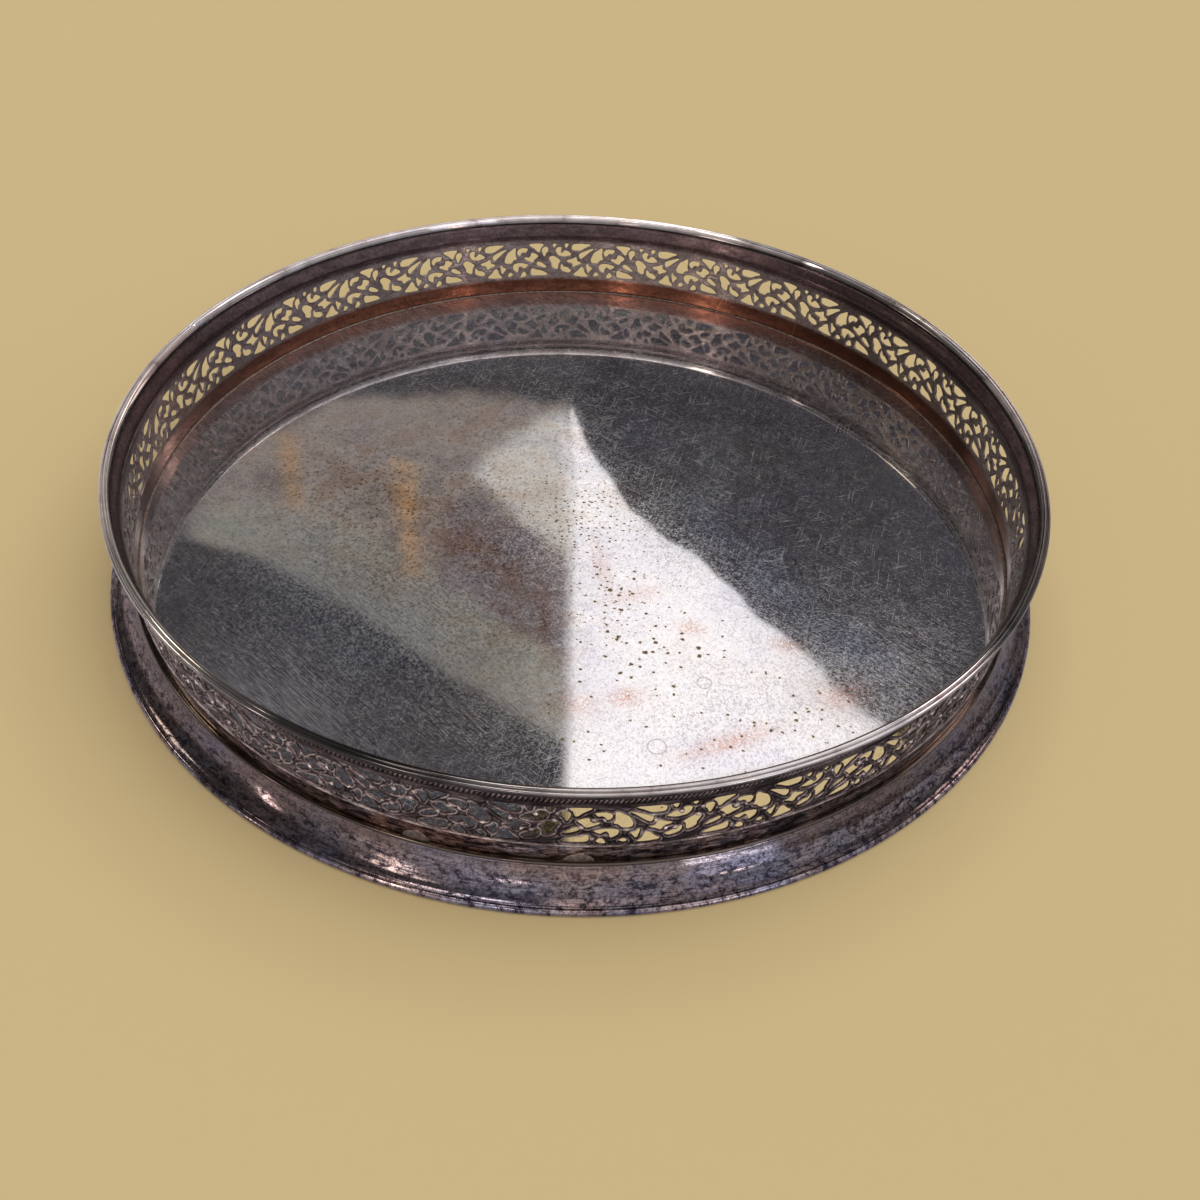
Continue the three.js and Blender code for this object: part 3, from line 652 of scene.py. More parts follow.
def makeGallery(settings):
    # The strip is worked out flat, along it and up it in mm, then bent round the axis piece by piece
    pitch = 2 * np.pi * (settings["outside"] - settings["sheet"] / 2) / settings["repeats"]
    rise = settings["piercedHeight"]
    below = settings["piercedFoot"] - settings["foot"]
    coveFoot = settings["coveFoot"] - settings["piercedFoot"]
    wallTop = coveFoot + settings["coveRise"]
    step = pitch / settings["cells"]
    rowsUp = np.concatenate([np.linspace(-below, -1.2, 7), np.arange(-0.9, rise + 1.0, step),
                             np.linspace(rise + 1.15, coveFoot, 4),
                             np.linspace(coveFoot, wallTop, 11)[1:]])
    oneRepeat = np.arange(settings["cells"]) * step + settings["start"] * pitch
    along, up = np.meshgrid(oneRepeat, rowsUp)
    depth = metalDepth(along, up, pitch, rise) - settings["trim"]
    depth = np.where((up < -0.05) | (up > rise + 0.05), np.maximum(depth, 0.1), depth)

    # Relief of the outer face by distance d from the edge: a rounded corner, a ridge at 0.4 mm, a
    # groove behind it and, in wide places, a middle rib. Balls are caps of spheres.
    inBand = smoothStep(-0.35, 0.05, up) * (1 - smoothStep(rise - 0.05, rise + 0.35, up))
    face = -0.26 * (1 - smoothStep(0, 0.24, depth))
    face = face + inBand * (settings["ridge"] * np.exp(-((depth - 0.42) / 0.2) ** 2)
                            - 0.20 * smoothStep(0.5, 0.85, depth)
                            + 0.20 * smoothStep(1.05, 1.4, depth) - 0.08 * smoothStep(1.7, 2.2, depth))
    for ballAlong, ballUp in voluteBalls:
        across = (along - ballAlong * pitch + pitch / 2) % pitch - pitch / 2
        ground = 1 - (across ** 2 + (up - ballUp * rise) ** 2) / settings["ball"] ** 2
        face = np.maximum(face, np.where(ground > 0, 0.5 * np.sqrt(np.maximum(ground, 0)) - 0.08, -9))
    for line in (-0.55, rise + 0.5):
        face = face + 0.34 * np.exp(-((up - line) / 0.2) ** 2)
    back = -0.20 * (1 - smoothStep(0, 0.3, depth))
    lightness = np.clip(0.42 + 1.5 * face, 0, 1)
    lightness = np.where((up < -1) | (up > rise + 0.1), np.minimum(lightness, 0.26), lightness)

    cove = np.clip((up - coveFoot) / settings["coveRise"], 0, 1)
    swell = settings["coveFlare"] * (1 - np.cos(np.pi * cove)) / 2
    slope = settings["coveFlare"] / settings["coveRise"] * np.pi / 2 * np.sin(np.pi * cove)
    widen = np.hypot(1, slope)

    perPiece = settings["repeats"] // settings["pieces"]
    columns = settings["cells"] * perPiece
    rows = len(rowsUp)

    def tile(numbers):
        wide = np.tile(numbers, (1, perPiece))
        return np.concatenate([wide, wide[:, :1]], 1)

    depthWide, faceWide, backWide, lightWide, swellWide, widenWide = (
        tile(numbers) for numbers in (depth, face, back, lightness, swell, widen))
    upWide = np.tile(rowsUp[:, None], (1, columns + 1))
    turnsWide = (settings["start"] + np.arange(columns + 1) / settings["cells"]) * np.ones((rows, 1))

    # Places of the grid's points, then of the crossing points on its level and upright sides
    i, j = np.meshgrid(np.arange(rows), np.arange(columns + 1), indexing="ij")
    gridId = i * (columns + 1) + j
    levelId = gridId.size + (i * columns + j)[:, :-1]
    uprightId = gridId.size + levelId.size + (i * (columns + 1) + j)[:-1]

    def between(numbers):
        # A value at every point: the grid's own, and the mix where the depth passes zero
        level = np.clip(depthWide[:, :-1] / (depthWide[:, :-1] - depthWide[:, 1:] + 1e-12), 0.06, 0.94)
        rising = np.clip(depthWide[:-1] / (depthWide[:-1] - depthWide[1:] + 1e-12), 0.06, 0.94)
        onLevel = numbers[:, :-1] + (numbers[:, 1:] - numbers[:, :-1]) * level
        onRising = numbers[:-1] + (numbers[1:] - numbers[:-1]) * rising
        return np.concatenate([numbers.ravel(), onLevel.ravel(), onRising.ravel()])

    metal = depthWide > 0
    a, b, c, d = metal[:-1, :-1], metal[:-1, 1:], metal[1:, 1:], metal[1:, :-1]
    case = (a * 1 + b * 2 + c * 4 + d * 8).ravel()
    corners = [gridId[:-1, :-1], gridId[:-1, 1:], gridId[1:, 1:], gridId[1:, :-1],
               levelId[:-1], uprightId[:, 1:], levelId[1:], uprightId[:, :-1]]
    corners = np.stack([corner.ravel() for corner in corners], 1)
    triangles = []
    cutEdges = []
    for number, (faces, edges) in cutCases.items():
        cells = corners[case == number]
        triangles += [cells[:, list(face)] for face in faces]
        cutEdges += [cells[:, list(edge)] for edge in edges]
    foot = np.stack([gridId[0, :-1], gridId[0, 1:]], 1)
    top = np.stack([gridId[-1, 1:], gridId[-1, :-1]], 1)
    leftEnd = np.stack([gridId[1:, 0], gridId[:-1, 0]], 1)
    rightEnd = np.stack([gridId[:-1, -1], gridId[1:, -1]], 1)
    triangles = np.concatenate(triangles)
    edges = np.concatenate(cutEdges + [foot, top, leftEnd, rightEnd])
    used, lookup = np.unique(np.concatenate([triangles.ravel(), edges.ravel()]), return_inverse=True)
    triangles = lookup[:triangles.size].reshape(-1, 3)
    edges = lookup[triangles.size:].reshape(-1, 2)
    count = len(used)
    skins = [triangles, triangles[:, ::-1] + count]
    walls = np.stack([edges[:, 0], edges[:, 0] + count, edges[:, 1] + count, edges[:, 1]], 1)

    allUp, allTurns, allSwell, allWiden, allFace, allBack, allLight = (
        between(numbers)[used] for numbers in
        (upWide, turnsWide, swellWide, widenWide, faceWide, backWide, lightWide))
    middle = settings["outside"] - settings["sheet"] / 2
    for number in range(settings["pieces"]):
        angle = (allTurns + number * perPiece) / settings["repeats"] * 2 * np.pi - np.pi / 2
        bend = waves(angle, 11, (2, 3, 5, 9), 0.05) + waves(angle, 12, (17, 29), 0.02)
        outer = middle + allSwell + bend + settings["sheet"] / 2 * allWiden + allFace
        inner = middle + allSwell + bend - settings["sheet"] / 2 * allWiden - allBack
        height = settings["piercedFoot"] + allUp
        points = np.concatenate([np.stack([radius * np.cos(angle), radius * np.sin(angle), height], 1)
                                 for radius in (outer, inner)])
        wallHeight = (allUp + below) / (wallTop + below)
        handled = np.interp(np.degrees(angle), *np.array(settings["handled"]).T)
        kept = 0.85 * np.exp(-((np.degrees(angle) % 360 - settings["keptAngle"]) / 14) ** 2)
        values = {
            "relief": np.concatenate([allLight + handled, np.full(count, 0.3)]),
            "inside": np.concatenate([np.zeros(count), np.ones(count)]),
            "height": np.concatenate([wallHeight, wallHeight]),
            "kept": np.tile(kept * smoothStep(0.24, 0.16, wallHeight), 2),
        }
        buildPiece(f"gallery_wall_{number + 1}", points, [*skins, walls], galleryMetal,
                   ["pierced_gallery"], values)
    print("gallery made, faces per piece:", sum(len(skin) for skin in skins) + len(walls))


makeGallery(gallery)


# Beads, and the outline of the strip they stand on, as (radius, height)
beads = {"count": 700, "radius": 143.2, "height": 36.15, "half": (0.42, 0.56, 1.6),
         "slant": 0.36, "lean": 0.28,
         "strip": [(142.3, 34.5), (142.75, 34.55), (142.9, 35.8), (143.6, 37.6), (143.1, 37.7)]}


def makeBeads(settings):
    # Each bead is a small egg of 8 by 4 faces, standing on end and slanted along the row like the
    # strands of a rope; all of them stand on a thin strip soldered to the foot of the flare.
    sides, rings = 8, 4
    polar = np.linspace(0, np.pi, rings + 1)[1:-1]
    spin = np.linspace(0, 2 * np.pi, sides, endpoint=False)
    egg = np.stack([np.outer(np.sin(polar), np.cos(spin)), np.outer(np.sin(polar), np.sin(spin)),
                    np.outer(np.cos(polar), np.ones(sides))], 2).reshape(-1, 3)
    egg = np.concatenate([egg, [[0, 0, 1], [0, 0, -1]]]) * settings["half"]
    out = egg[:, 0] + settings["lean"] * egg[:, 2]
    along = egg[:, 1] + settings["slant"] * egg[:, 2]
    near = np.arange(sides)
    after = (near + 1) % sides
    top = len(egg) - 2
    lastRow = (rings - 2) * sides
    caps = np.concatenate([np.stack([np.full(sides, top), near, after], 1),
                           np.stack([np.full(sides, top + 1), lastRow + after, lastRow + near], 1)])
    count = settings["count"]
    angle = (np.arange(count) / count * 2 * np.pi)[:, None]
    radius = settings["radius"] + out
    points = np.stack([radius * np.cos(angle) - along * np.sin(angle),
                       radius * np.sin(angle) + along * np.cos(angle),
                       settings["height"] + egg[:, 2] + 0 * angle], 2).reshape(-1, 3)
    shift = (np.arange(count) * len(egg))[:, None, None]
    quads = (gridFaces(rings - 1, sides, True)[None] + shift).reshape(-1, 4)
    ends = (caps[None] + shift).reshape(-1, 3)
    stripPoints, stripFaces, _ = turn(settings["strip"], count)
    total = len(points) + len(stripPoints)
    # Bead colour: lighter outwards where rubbed, and lighter towards the top as a painted highlight
    light = 0.28 + 0.1 * egg[:, 2] / settings["half"][2] + 0.13 * egg[:, 0] / settings["half"][0]
    buildPiece("bead_row", np.concatenate([points, stripPoints]),
               [quads, ends, stripFaces + len(points)], galleryMetal, ["beaded_wire"],
               {"relief": np.concatenate([np.tile(light, count), np.full(len(stripPoints), 0.14)]),
                "inside": np.zeros(total), "height": np.full(total, 0.8)})


makeBeads(beads)
print("beads made")


# Rolled rim
def handledSilverRim():
    # Drawn silver-plated moulding, kept bright by handling: long clear highlights, fine streaks
    # along it, a little violet-brown tarnish in patches. Its colour is scaled by angle and across the
    # section: tarnish, with painted light and painted shade.
    material, add, place = metalStart("handled silver moulding")
    cloud = add("TexNoise", {"Vector": place, "Scale": 1 / 14, "Detail": 5, "Roughness": 0.65})
    drawn = add("VectorMath", {0: place, 1: (1 / 6, 1 / 6, 1 / 0.3)}, operation="MULTIPLY")
    streaks = add("TexNoise", {"Vector": drawn, "Scale": 1.0, "Detail": 3, "Roughness": 0.6})
    film = add("ValToRGB", {"Fac": cloud}, stops=[(0.32, "#8f8384"), (0.42, "#cdc5c4"),
                                                  (0.62, "#e9e5e4")])
    lines = add("ValToRGB", {"Fac": streaks}, stops=[(0.35, "#8d8485"), (0.5, "#ffffff")])
    base = add("Mix", {0: 0.08, 6: film, 7: lines}, **darkened)
    # Scale of the colour: tarnish, with painted light and shade lightening or darkening each side
    wiped = add("Attribute", attribute_name="wiped")
    base = add("VectorMath", {0: base, "Scale": wiped}, operation="SCALE")
    gloss = add("MapRange", {0: streaks, 1: 0.35, 2: 0.6, 3: 0.1, 4: 0.045})
    shader = add("BsdfPrincipled", {"Base Color": base, "Metallic": 1.0, "Roughness": gloss})
    add("OutputMaterial", {"Surface": shader})
    return material


rimMetal = handledSilverRim()


# Scale of the rim's colour by angle in degrees from +X, tarnish and painted light together: one
# list over the rolls, and a list of painted shade times that below them inside. A roll is its
# middle's radius and height, and its size.
rim = {"inner": 143.95, "foot": 40.2, "seamAngle": 161.0, "segments": 1200,
       "innerRoll": (144.85, 42.38, 0.9), "groove": (145.52, 42.86), "outerRoll": (146.07, 42.5, 0.58),
       "under": [(145.75, 41.3), (145.2, 40.2)],
       "wiped": [(-180, 1.3), (-165, 1.2), (-150, 1.1), (-135, 1.15), (-126, 0.7), (-118, 0.25),
                 (-111, 0.12), (-101, 0.12), (-95, 0.35), (-88, 0.6), (-70, 0.8), (-58, 1.15), (-46, 1.0),
                 (-38, 0.4), (-28, 0.22), (-12, 0.24), (0, 0.5), (20, 0.95), (90, 1.1), (150, 1.1),
                 (180, 1.3)],
       "grooveTarnishAndUnderShade": 0.6,
       "paintedShadeInside": [(-180, 1.0), (-150, 0.8), (-125, 0.4), (-105, 0.25), (-60, 0.25), (-30, 0.8),
                     (20, 1.0), (180, 1.0)]}


def makeRim(settings):
    # Outline of the moulding: up its inner face, over the broad inner roll, down into a groove, round
    # the outer roll, and back under to the wall. The strip's butt joint is a small notch at one angle.
    inner, foot = settings["inner"], settings["foot"]
    outline = np.concatenate([
        [(inner, foot), (inner, foot + 1.3)],
        arcPoints(*settings["innerRoll"], 180, 50, 20),
        [settings["groove"]],
        arcPoints(*settings["outerRoll"], 132, -60, 20),
        settings["under"],
    ])

    def ripple(shape, angle):
        gap = (angle - np.radians(settings["seamAngle"]) + np.pi) % (2 * np.pi) - np.pi
        notch = np.exp(-(gap * settings["inner"] / 0.25) ** 2)
        overTop = smoothStep(foot + 0.6, foot + 3.0, shape[:, 1:])
        return waves(angle, 21, (2, 3, 7, 19), 0.03) * np.ones((len(shape), 1)), -0.35 * notch * overTop

    count = settings["segments"]
    points, faces, shape = turn(outline, count, ripple)
    # The inner side, below the top of its roll, is darkened by angle as painted shade. The groove
    # between the rolls is darker as tarnish, and the outer one's underside and the upright below the
    # inner one are darker as painted shade
    inwards = smoothStep(144.95, 144.6, shape[:, :1])
    paintedShadeByAngle = byAngle(settings["paintedShadeInside"], count)
    wiped = byAngle(settings["wiped"], count) * (1 - inwards + inwards * paintedShadeByAngle)
    underside = smoothStep(42.98, 42.7, shape[:, 1:]) * smoothStep(145.4, 145.8, shape[:, :1])
    upright = smoothStep(42.1, 41.5, shape[:, 1:]) * smoothStep(144.6, 144.2, shape[:, :1])
    # Tarnish in the groove; painted shade under the outer roll and on the upright below the inner one
    grooveTarnishAndUnderShade = np.exp(-((shape[:, :1] - settings["groove"][0]) / 0.14) ** 2) + underside + upright
    wiped = wiped * (1 - settings["grooveTarnishAndUnderShade"] * grooveTarnishAndUnderShade)
    buildPiece("rolled_rim", points, faces, rimMetal, ["rim_moulding"],
               {"wiped": wiped.ravel()})


makeRim(rim)
print("rim made")


# Foot
def mottledSilverFoot(settings):
    # Spun silver-plated foot, wiped but never polished: purple-grey film with near-black blotches
    # and fine streaks along the spinning. It is painted paler under the wall as a painted reflection,
    # and its colour is scaled by angle as tarnish and painted light.
    material, add, place = metalStart("mottled silver foot")
    down = add("Attribute", attribute_name="down")
    flat = add("VectorMath", {0: place, 1: (1, 1, 0)}, operation="MULTIPLY")
    lift = add("CombineXYZ", {2: down})
    cloudy = add("VectorMath", {0: lift, 1: (0, 0, 1.4), 2: flat}, operation="MULTIPLY_ADD")
    cloud = add("TexNoise", {"Vector": cloudy, "Scale": 1 / 2.7, "Detail": 8, "Roughness": 0.78})
    spun = add("VectorMath", {0: lift, 1: (0, 0, 22), 2: flat}, operation="MULTIPLY_ADD")
    streaks = add("TexNoise", {"Vector": spun, "Scale": 1 / 8, "Detail": 4, "Roughness": 0.6})
    fine = add("TexNoise", {"Vector": place, "Scale": 1 / 0.8, "Detail": 3, "Roughness": 0.7})
    broad = add("TexNoise", {"Vector": place, "Scale": 1 / 26, "Detail": 2})
    film = add("ValToRGB", {"Fac": cloud}, stops=[(0.43, "#3b3a44"), (0.465, "#676067"),
                                                  (0.5, "#857f83"), (0.64, "#9a959a")])
    # Painted reflection: the upper flare, under the wall, is painted a paler grey
    paintedPaleTop = add("MapRange", {0: down, 1: 5.0, 2: 9.5, 3: 0.7, 4: 0.0})
    film = add("Mix", {0: paintedPaleTop, 6: film, 7: toLinear("#938b8b")}, **over)
    # Over the film: a change of hue round the foot, the streaks, and fine specks
    layers = [(broad, 1.0, [(0.42, "#fbeee6"), (0.5, "#f6f1f3"), (0.6, "#e6ebfa")]),
              (streaks, 0.7, [(0.38, "#a59ca0"), (0.56, "#ffffff")]),
              (fine, 0.85, [(0.35, "#857b80"), (0.52, "#ffffff")])]
    base = film
    for noise, strength, stops in layers:
        layer = add("ValToRGB", {"Fac": noise}, stops=stops)
        base = add("Mix", {0: strength, 6: base, 7: layer}, **darkened)
    # Scale by angle: tarnish, with painted light and shade over each side and along the lowest edge
    filmAndPaintedLight = add("Attribute", attribute_name="wiped")
    base = add("VectorMath", {0: base, "Scale": filmAndPaintedLight}, operation="SCALE")
    # A round mark where flux ran down: a thin pale outline
    markPlace, markRadius = settings["fluxMark"]
    away = add("VectorMath", {0: place, 1: markPlace}, operation="DISTANCE")
    uneven = add("Math", {0: streaks, 1: 0.8, 2: away}, operation="MULTIPLY_ADD")
    off = add("Math", {0: uneven, 1: markRadius}, operation="SUBTRACT")
    off = add("Math", {0: off}, operation="ABSOLUTE")
    mark = add("MapRange", {0: off, 1: 0.1, 2: 0.35, 3: 0.35, 4: 0.0})
    base = add("Mix", {0: mark, 6: base, 7: toLinear("#a79f96")}, **over)
    gloss = add("MapRange", {0: cloud, 1: 0.42, 2: 0.52, 3: 0.28, 4: 0.07})
    groove = add("Bump", {"Strength": 0.1, "Distance": 0.0001, "Height": streaks})
    shader = add("BsdfPrincipled", {"Base Color": base, "Metallic": 0.97, "Roughness": gloss,
                                    "Normal": groove})
    add("OutputMaterial", {"Surface": shader})
    return material


# Sizes in mm, heights from the table, points as (radius, height). The foot's colour is scaled by
# angle in degrees from +X, tarnish and painted light together: one list for all of it, and a list
# of painted light times that at the edge, which paints highlight lines in or out there.
foot = {"topRadius": 142.95, "flangeHeight": 9.35, "bend": 0.6, "sheet": 0.9, "flange": 3.2,
        "pull": (146.2, 2.65), "end": (151.0, 1.85), "wireRadius": 151.3, "wireSize": 1.016,
        "segments": 900,
        "wiped": [(-180, 1.4), (-160, 1.3), (-140, 1.0), (-125, 0.92), (-110, 1.0), (-95, 1.05),
                  (-62, 0.92), (-55, 0.8), (-38, 0.75), (-20, 0.75), (0, 0.5), (60, 0.8), (120, 0.9),
                  (180, 1.4)],
        "paintedEdgeLight": [(-180, 1.2), (-158, 0.9), (-148, 0.5), (-135, 0.5), (-127, 0.6), (-121, 1.2),
                    (-102, 1.3), (-88, 1.2), (-83, 0.7), (-78, 0.5), (-62, 0.45), (-45, 0.6), (-20, 0.8),
                    (0, 1.0), (180, 1.0)],
        "fluxMark": ((7.0, -143.2, 8.2), 4.9)}
footMetal = mottledSilverFoot(foot)


def footValues(shape, settings):
    # Numbers the foot's metal reads: how far down the flare, and its colour's scale at each angle,
    # tarnish with painted light and shade
    count = settings["segments"]
    down = np.interp(shape[:, 0] - shape[:, 1], [130, 155], [0, 25])
    low = smoothStep(14.5, 18.0, down)[:, None]
    # At the lowest edge: painted highlight where the list is above one, painted shade below one
    atEdge = byAngle(settings["paintedEdgeLight"], count)
    wiped = byAngle(settings["wiped"], count) * (1 - low + low * atEdge)
    return {"down": np.repeat(down, count), "wiped": wiped.ravel()}


def makeFoot(settings):
    # Middle line: a level flange, a quarter bend, then a bell curve (quadratic Bezier) that drops
    # and flares to the edge wire. The sheet's faces stand half its thickness to either side.
    top = settings["topRadius"]
    low = settings["flangeHeight"]
    bend = arcPoints(top - settings["bend"], low - settings["bend"], settings["bend"], 90, 28, 7)
    start = bend[-1]
    pull, end = np.array(settings["pull"]), np.array(settings["end"])
    t = np.linspace(0, 1, 36)[1:, None]
    flare = (1 - t) ** 2 * start + 2 * t * (1 - t) * pull + t ** 2 * end
    middle = np.concatenate([[[top - settings["flange"], low]], bend, flare])
    along = np.gradient(middle, axis=0)
    along = along / np.hypot(along[:, :1], along[:, 1:])
    aside = np.stack([-along[:, 1], along[:, 0]], 1) * settings["sheet"] / 2
    outline = np.concatenate([middle + aside, (middle - aside)[::-1]])

    def ripple(shape, angle):
        lower = smoothStep(9.0, 2.0, shape[:, 1:])
        return 0, 0.10 * lower * waves(angle, 31, (3, 5, 8, 13), 0.5)

    points, faces, shape = turn(outline, settings["segments"], ripple)
    buildPiece("flared_skirt", points, faces, footMetal, ["flared_foot"],
               footValues(shape, settings))


def makeFootWire(settings):
    # The edge wire, a round section carried round the tray
    outline = arcPoints(settings["wireRadius"], settings["wireSize"], settings["wireSize"], 0, 345, 24)
    points, faces, shape = turn(outline, settings["segments"])
    # The wire takes the foot's scale by angle, tarnish and painted light, 1.6 times over
    worn = 1.6 * byAngle(settings["wiped"], settings["segments"])
    buildPiece("edge_wire", points, faces, footMetal, ["foot_edge_wire"],
               {"down": np.full(len(points), 19.0), "wiped": np.tile(worn, len(shape))})


makeFoot(foot)
makeFootWire(foot)
print("foot made")


# Solder runs over the joint of wall and foot: angle in degrees from +X, and sizes in mm
solder = {"solder_run_left": {"angle": 255.4, "width": 7.6, "height": 2.9},
          "solder_run_front": {"angle": 272.4, "width": 8.0, "height": 2.7}}
solderSeat = {"radius": 142.45, "foot": 10.95, "thickness": 0.5}


def makeSolderRun(name, run, seat):
    # Half an oval on the wall, bulging most at the middle: out = thickness * sqrt(1 - x^2 - y^2)
    across, upwards = 33, 17
    u = np.linspace(-1, 1, across)
    v = np.linspace(0, 1, upwards)[:, None]
    x = u * np.ones_like(v)
    y = v * np.sqrt(np.maximum(1 - u ** 2, 0))
    bulge = np.sqrt(np.maximum(1 - x ** 2 - y ** 2, 0)) * 0.8 + 0.2 * (1 - x ** 2 - y ** 2)
    angle = np.radians(run["angle"]) + x * run["width"] / 2 / seat["radius"]
    frayed = 1 + 0.15 * np.sin(3 * x + 1) + 0.06 * np.sin(8 * x)
    height = seat["foot"] + y * frayed * run["height"]

    def bent(radius):
        return np.stack([radius * np.cos(angle), radius * np.sin(angle), height], 2).reshape(-1, 3)

    points = np.concatenate([bent(seat["radius"] + 0.05 + seat["thickness"] * bulge),
                             bent(seat["radius"] + 0 * bulge)])
    quads = gridFaces(upwards, across)[:, [0, 3, 2, 1]]
    count = across * upwards
    border = np.concatenate([np.arange(across), np.arange(1, upwards) * across + across - 1,
                             (upwards - 1) * across + np.arange(across - 2, -1, -1),
                             np.arange(upwards - 2, 0, -1) * across])
    ahead = np.roll(border, -1)
    sides = np.stack([border, border + count, ahead + count, ahead], 1)
    buildPiece(name + "_patch", points, [quads, quads[:, ::-1] + count, sides], solderMetal,
               [name])


for runName, run in solder.items():
    makeSolderRun(runName, run, solderSeat)
print("solder made")


# Stage and light
stage = {
    "table": "#cbb586",
    "mat": "#cfc8ca",
    "flat": 2.3,          # metres of level table
    "bend": 1.2,          # and of the bend beyond it, in which
    "rise": 0.9,          # the backdrop curves up this far all round
    "lampsAt": 2.5,       # metres from the tray
    "fill": 1.9,
    # Light of the room by direction: dull where the dot product with lean is below the first number,
    # bright above the second, so light towards the front and right, dull overhead and behind
    "lean": (0.5, -0.8, -0.25),
    "room": (-0.22, 0.25, 0.19, 1.0),
}

# The studio's end wall behind the tray, which its mirror floor shows: an upright plane in metres,
# and the lines across and up it, closer together where the floor looks
endWall = {
    "plane": 2.6,
    "across": [(-3.6, -1.4, 0.1), (-1.4, -0.2, 0.02), (-0.2, 0.8, 0.01), (0.8, 1.5, 0.03), (1.5, 4.6, 0.1)],
    "up": [(0.8, 1.65, 0.05), (1.65, 2.9, 0.01), (2.9, 4.4, 0.03), (4.4, 5.3, 0.1)],
    "colour": "#424147",
}

# Boards and cloths on it, back to front: colour, strength, width in metres over which the edge
# fades, and corners as (across, height)
boards = {
    "lowDrape": ("#35323a", 1.0, 0.06, [(-0.04, 1.2), (3.6, 1.2), (3.6, 1.75), (1.2, 1.9), (-0.03, 1.78)]),
    "footBoard": ("#c2c0b2", 1.3, 0.06, [(-2.4, 0.95), (2.4, 0.95), (2.2, 1.25), (0, 1.4), (-2.2, 1.25)]),
    "leftBoard": ("#c2b8b3", 1.0, 0.08, [
        (-3.4, 0.85), (-1.4, 0.85), (-1.4, 1.9), (-1.6, 2.6), (-3.4, 2.6)]),
    "rightBoard": ("#e2cec6", 0.75, 0.12, [(1.6, 0.9), (4.5, 0.9), (4.5, 3.0), (1.75, 2.8)]),
    "rightGlow": ("#fbe6de", 2.6, 0.04, [(0.98, 0.9), (1.0, 1.5), (1.16, 1.85), (1.34, 2.1), (1.45, 2.4),
                                         (1.75, 2.4), (1.75, 0.9)]),
    "oliveCloth": ("#9f948d", 1.0, 0.025, [
        (-1.27, 2.32), (-1.21, 2.14), (-0.99, 1.94), (-0.77, 1.80), (-0.48, 1.75), (-0.15, 1.73),
        (-0.09, 1.74), (-0.06, 1.83), (-0.02, 2.03), (-0.02, 3.28), (-0.22, 3.12), (-0.43, 2.95),
        (-0.63, 2.76), (-0.94, 2.47)]),
    "paleBand": ("#a3a196", 1.0, 0.04, [
        (-1.22, 2.20), (-0.90, 2.18), (-0.60, 2.33), (-0.38, 2.51), (-0.10, 2.78), (-0.02, 3.28),
        (-0.22, 3.12), (-0.43, 2.95), (-0.63, 2.76), (-0.94, 2.47), (-1.27, 2.32)]),
    "brownBoard": ("#867c7f", 1.0, 0.012, [(-0.45, 2.13), (-0.34, 2.14), (-0.05, 2.34), (-0.05, 2.78),
                                           (-0.29, 2.64), (-0.49, 2.48)]),
    "amberStrip": ("#c9a784", 1.0, 0.02, [(-0.605, 1.99), (-0.54, 2.0), (-0.545, 2.44), (-0.6, 2.45)]),
    "amberStripTwo": ("#bb9a78", 1.0, 0.025, [(-0.93, 1.93), (-0.88, 1.93), (-0.89, 2.17), (-0.94, 2.17)]),
    "greyBoard": ("#dfdbd4", 1.1, 0.03, [
        (-0.37, 2.02), (-0.28, 1.92), (-0.15, 1.79), (-0.10, 1.76), (-0.06, 1.85), (-0.02, 2.05),
        (-0.02, 2.36), (-0.22, 2.20)]),
    "lowerPatch": ("#77767c", 1.0, 0.06, [(-1.30, 2.95), (-1.01, 3.04), (-0.86, 3.15), (-0.94, 3.34),
                                          (-1.22, 3.22)]),
    "windowHaze": ("#f4f1f2", 1.3, 0.028, [
        (-0.10, 1.80), (-0.075, 1.87), (-0.045, 2.0), (-0.01, 2.2), (0.0, 3.1), (-0.01, 4.3), (-0.055, 3.5),
        (-0.055, 2.77), (-0.06, 2.30)]),
    "window": ("#fcfafb", 1.52, 0.006, [
        (-0.075, 1.755), (-0.063, 1.79), (-0.035, 1.856), (-0.012, 1.912), (0.02, 1.984), (0.046, 2.013),
        (0.083, 2.076), (0.121, 2.148), (0.209, 2.211), (0.321, 2.295), (0.50, 2.47), (0.74, 2.71),
        (0.89, 2.87), (1.10, 3.08), (1.66, 3.64), (2.3, 4.3), (-0.02, 4.3), (-0.04, 2.77), (-0.04, 2.30),
        (-0.05, 2.03), (-0.07, 1.85)]),
}

# Lamps and windows round the room, for the glints: colour, strength, compass turn from the back
# towards the right, height, width and tallness, all in degrees
lamps = {
    "leftTall": ("#ffefe6", 8.0, -117, 17, 3, 17),
    "leftFront": ("#fff1e6", 5.0, -144, 37, 5, 18),
    "leftFrontHigh": ("#fff1e6", 6.0, -135, 54, 6, 16),
    "leftMiddle": ("#fff3dd", 7.0, -69, 44, 9, 8),
    "overhead": ("#fff4ee", 6.0, -50, 81, 16, 10),
    "ceiling": ("#fff2ec", 1.4, 90, 76, 46, 32),
    "frontLow": ("#fff0e6", 14.0, -170, 29, 4, 3),
    "lowRight": ("#f6f3f4", 7.0, 146, 3, 17, 3.5),
    "frontRight": ("#ffe2c4", 12.0, 142, 29, 4, 3),
    "backRight": ("#ffe9e6", 6.0, 55, 49, 15, 9),
    "frontWide": ("#f6ece8", 1.1, 180, 13, 84, 20),
    "sideWindow": ("#d8dae4", 2.5, 144, 14, 17, 30),
    "sideWindowHigh": ("#d6d8e4", 1.6, 113, 64, 14, 18),
}


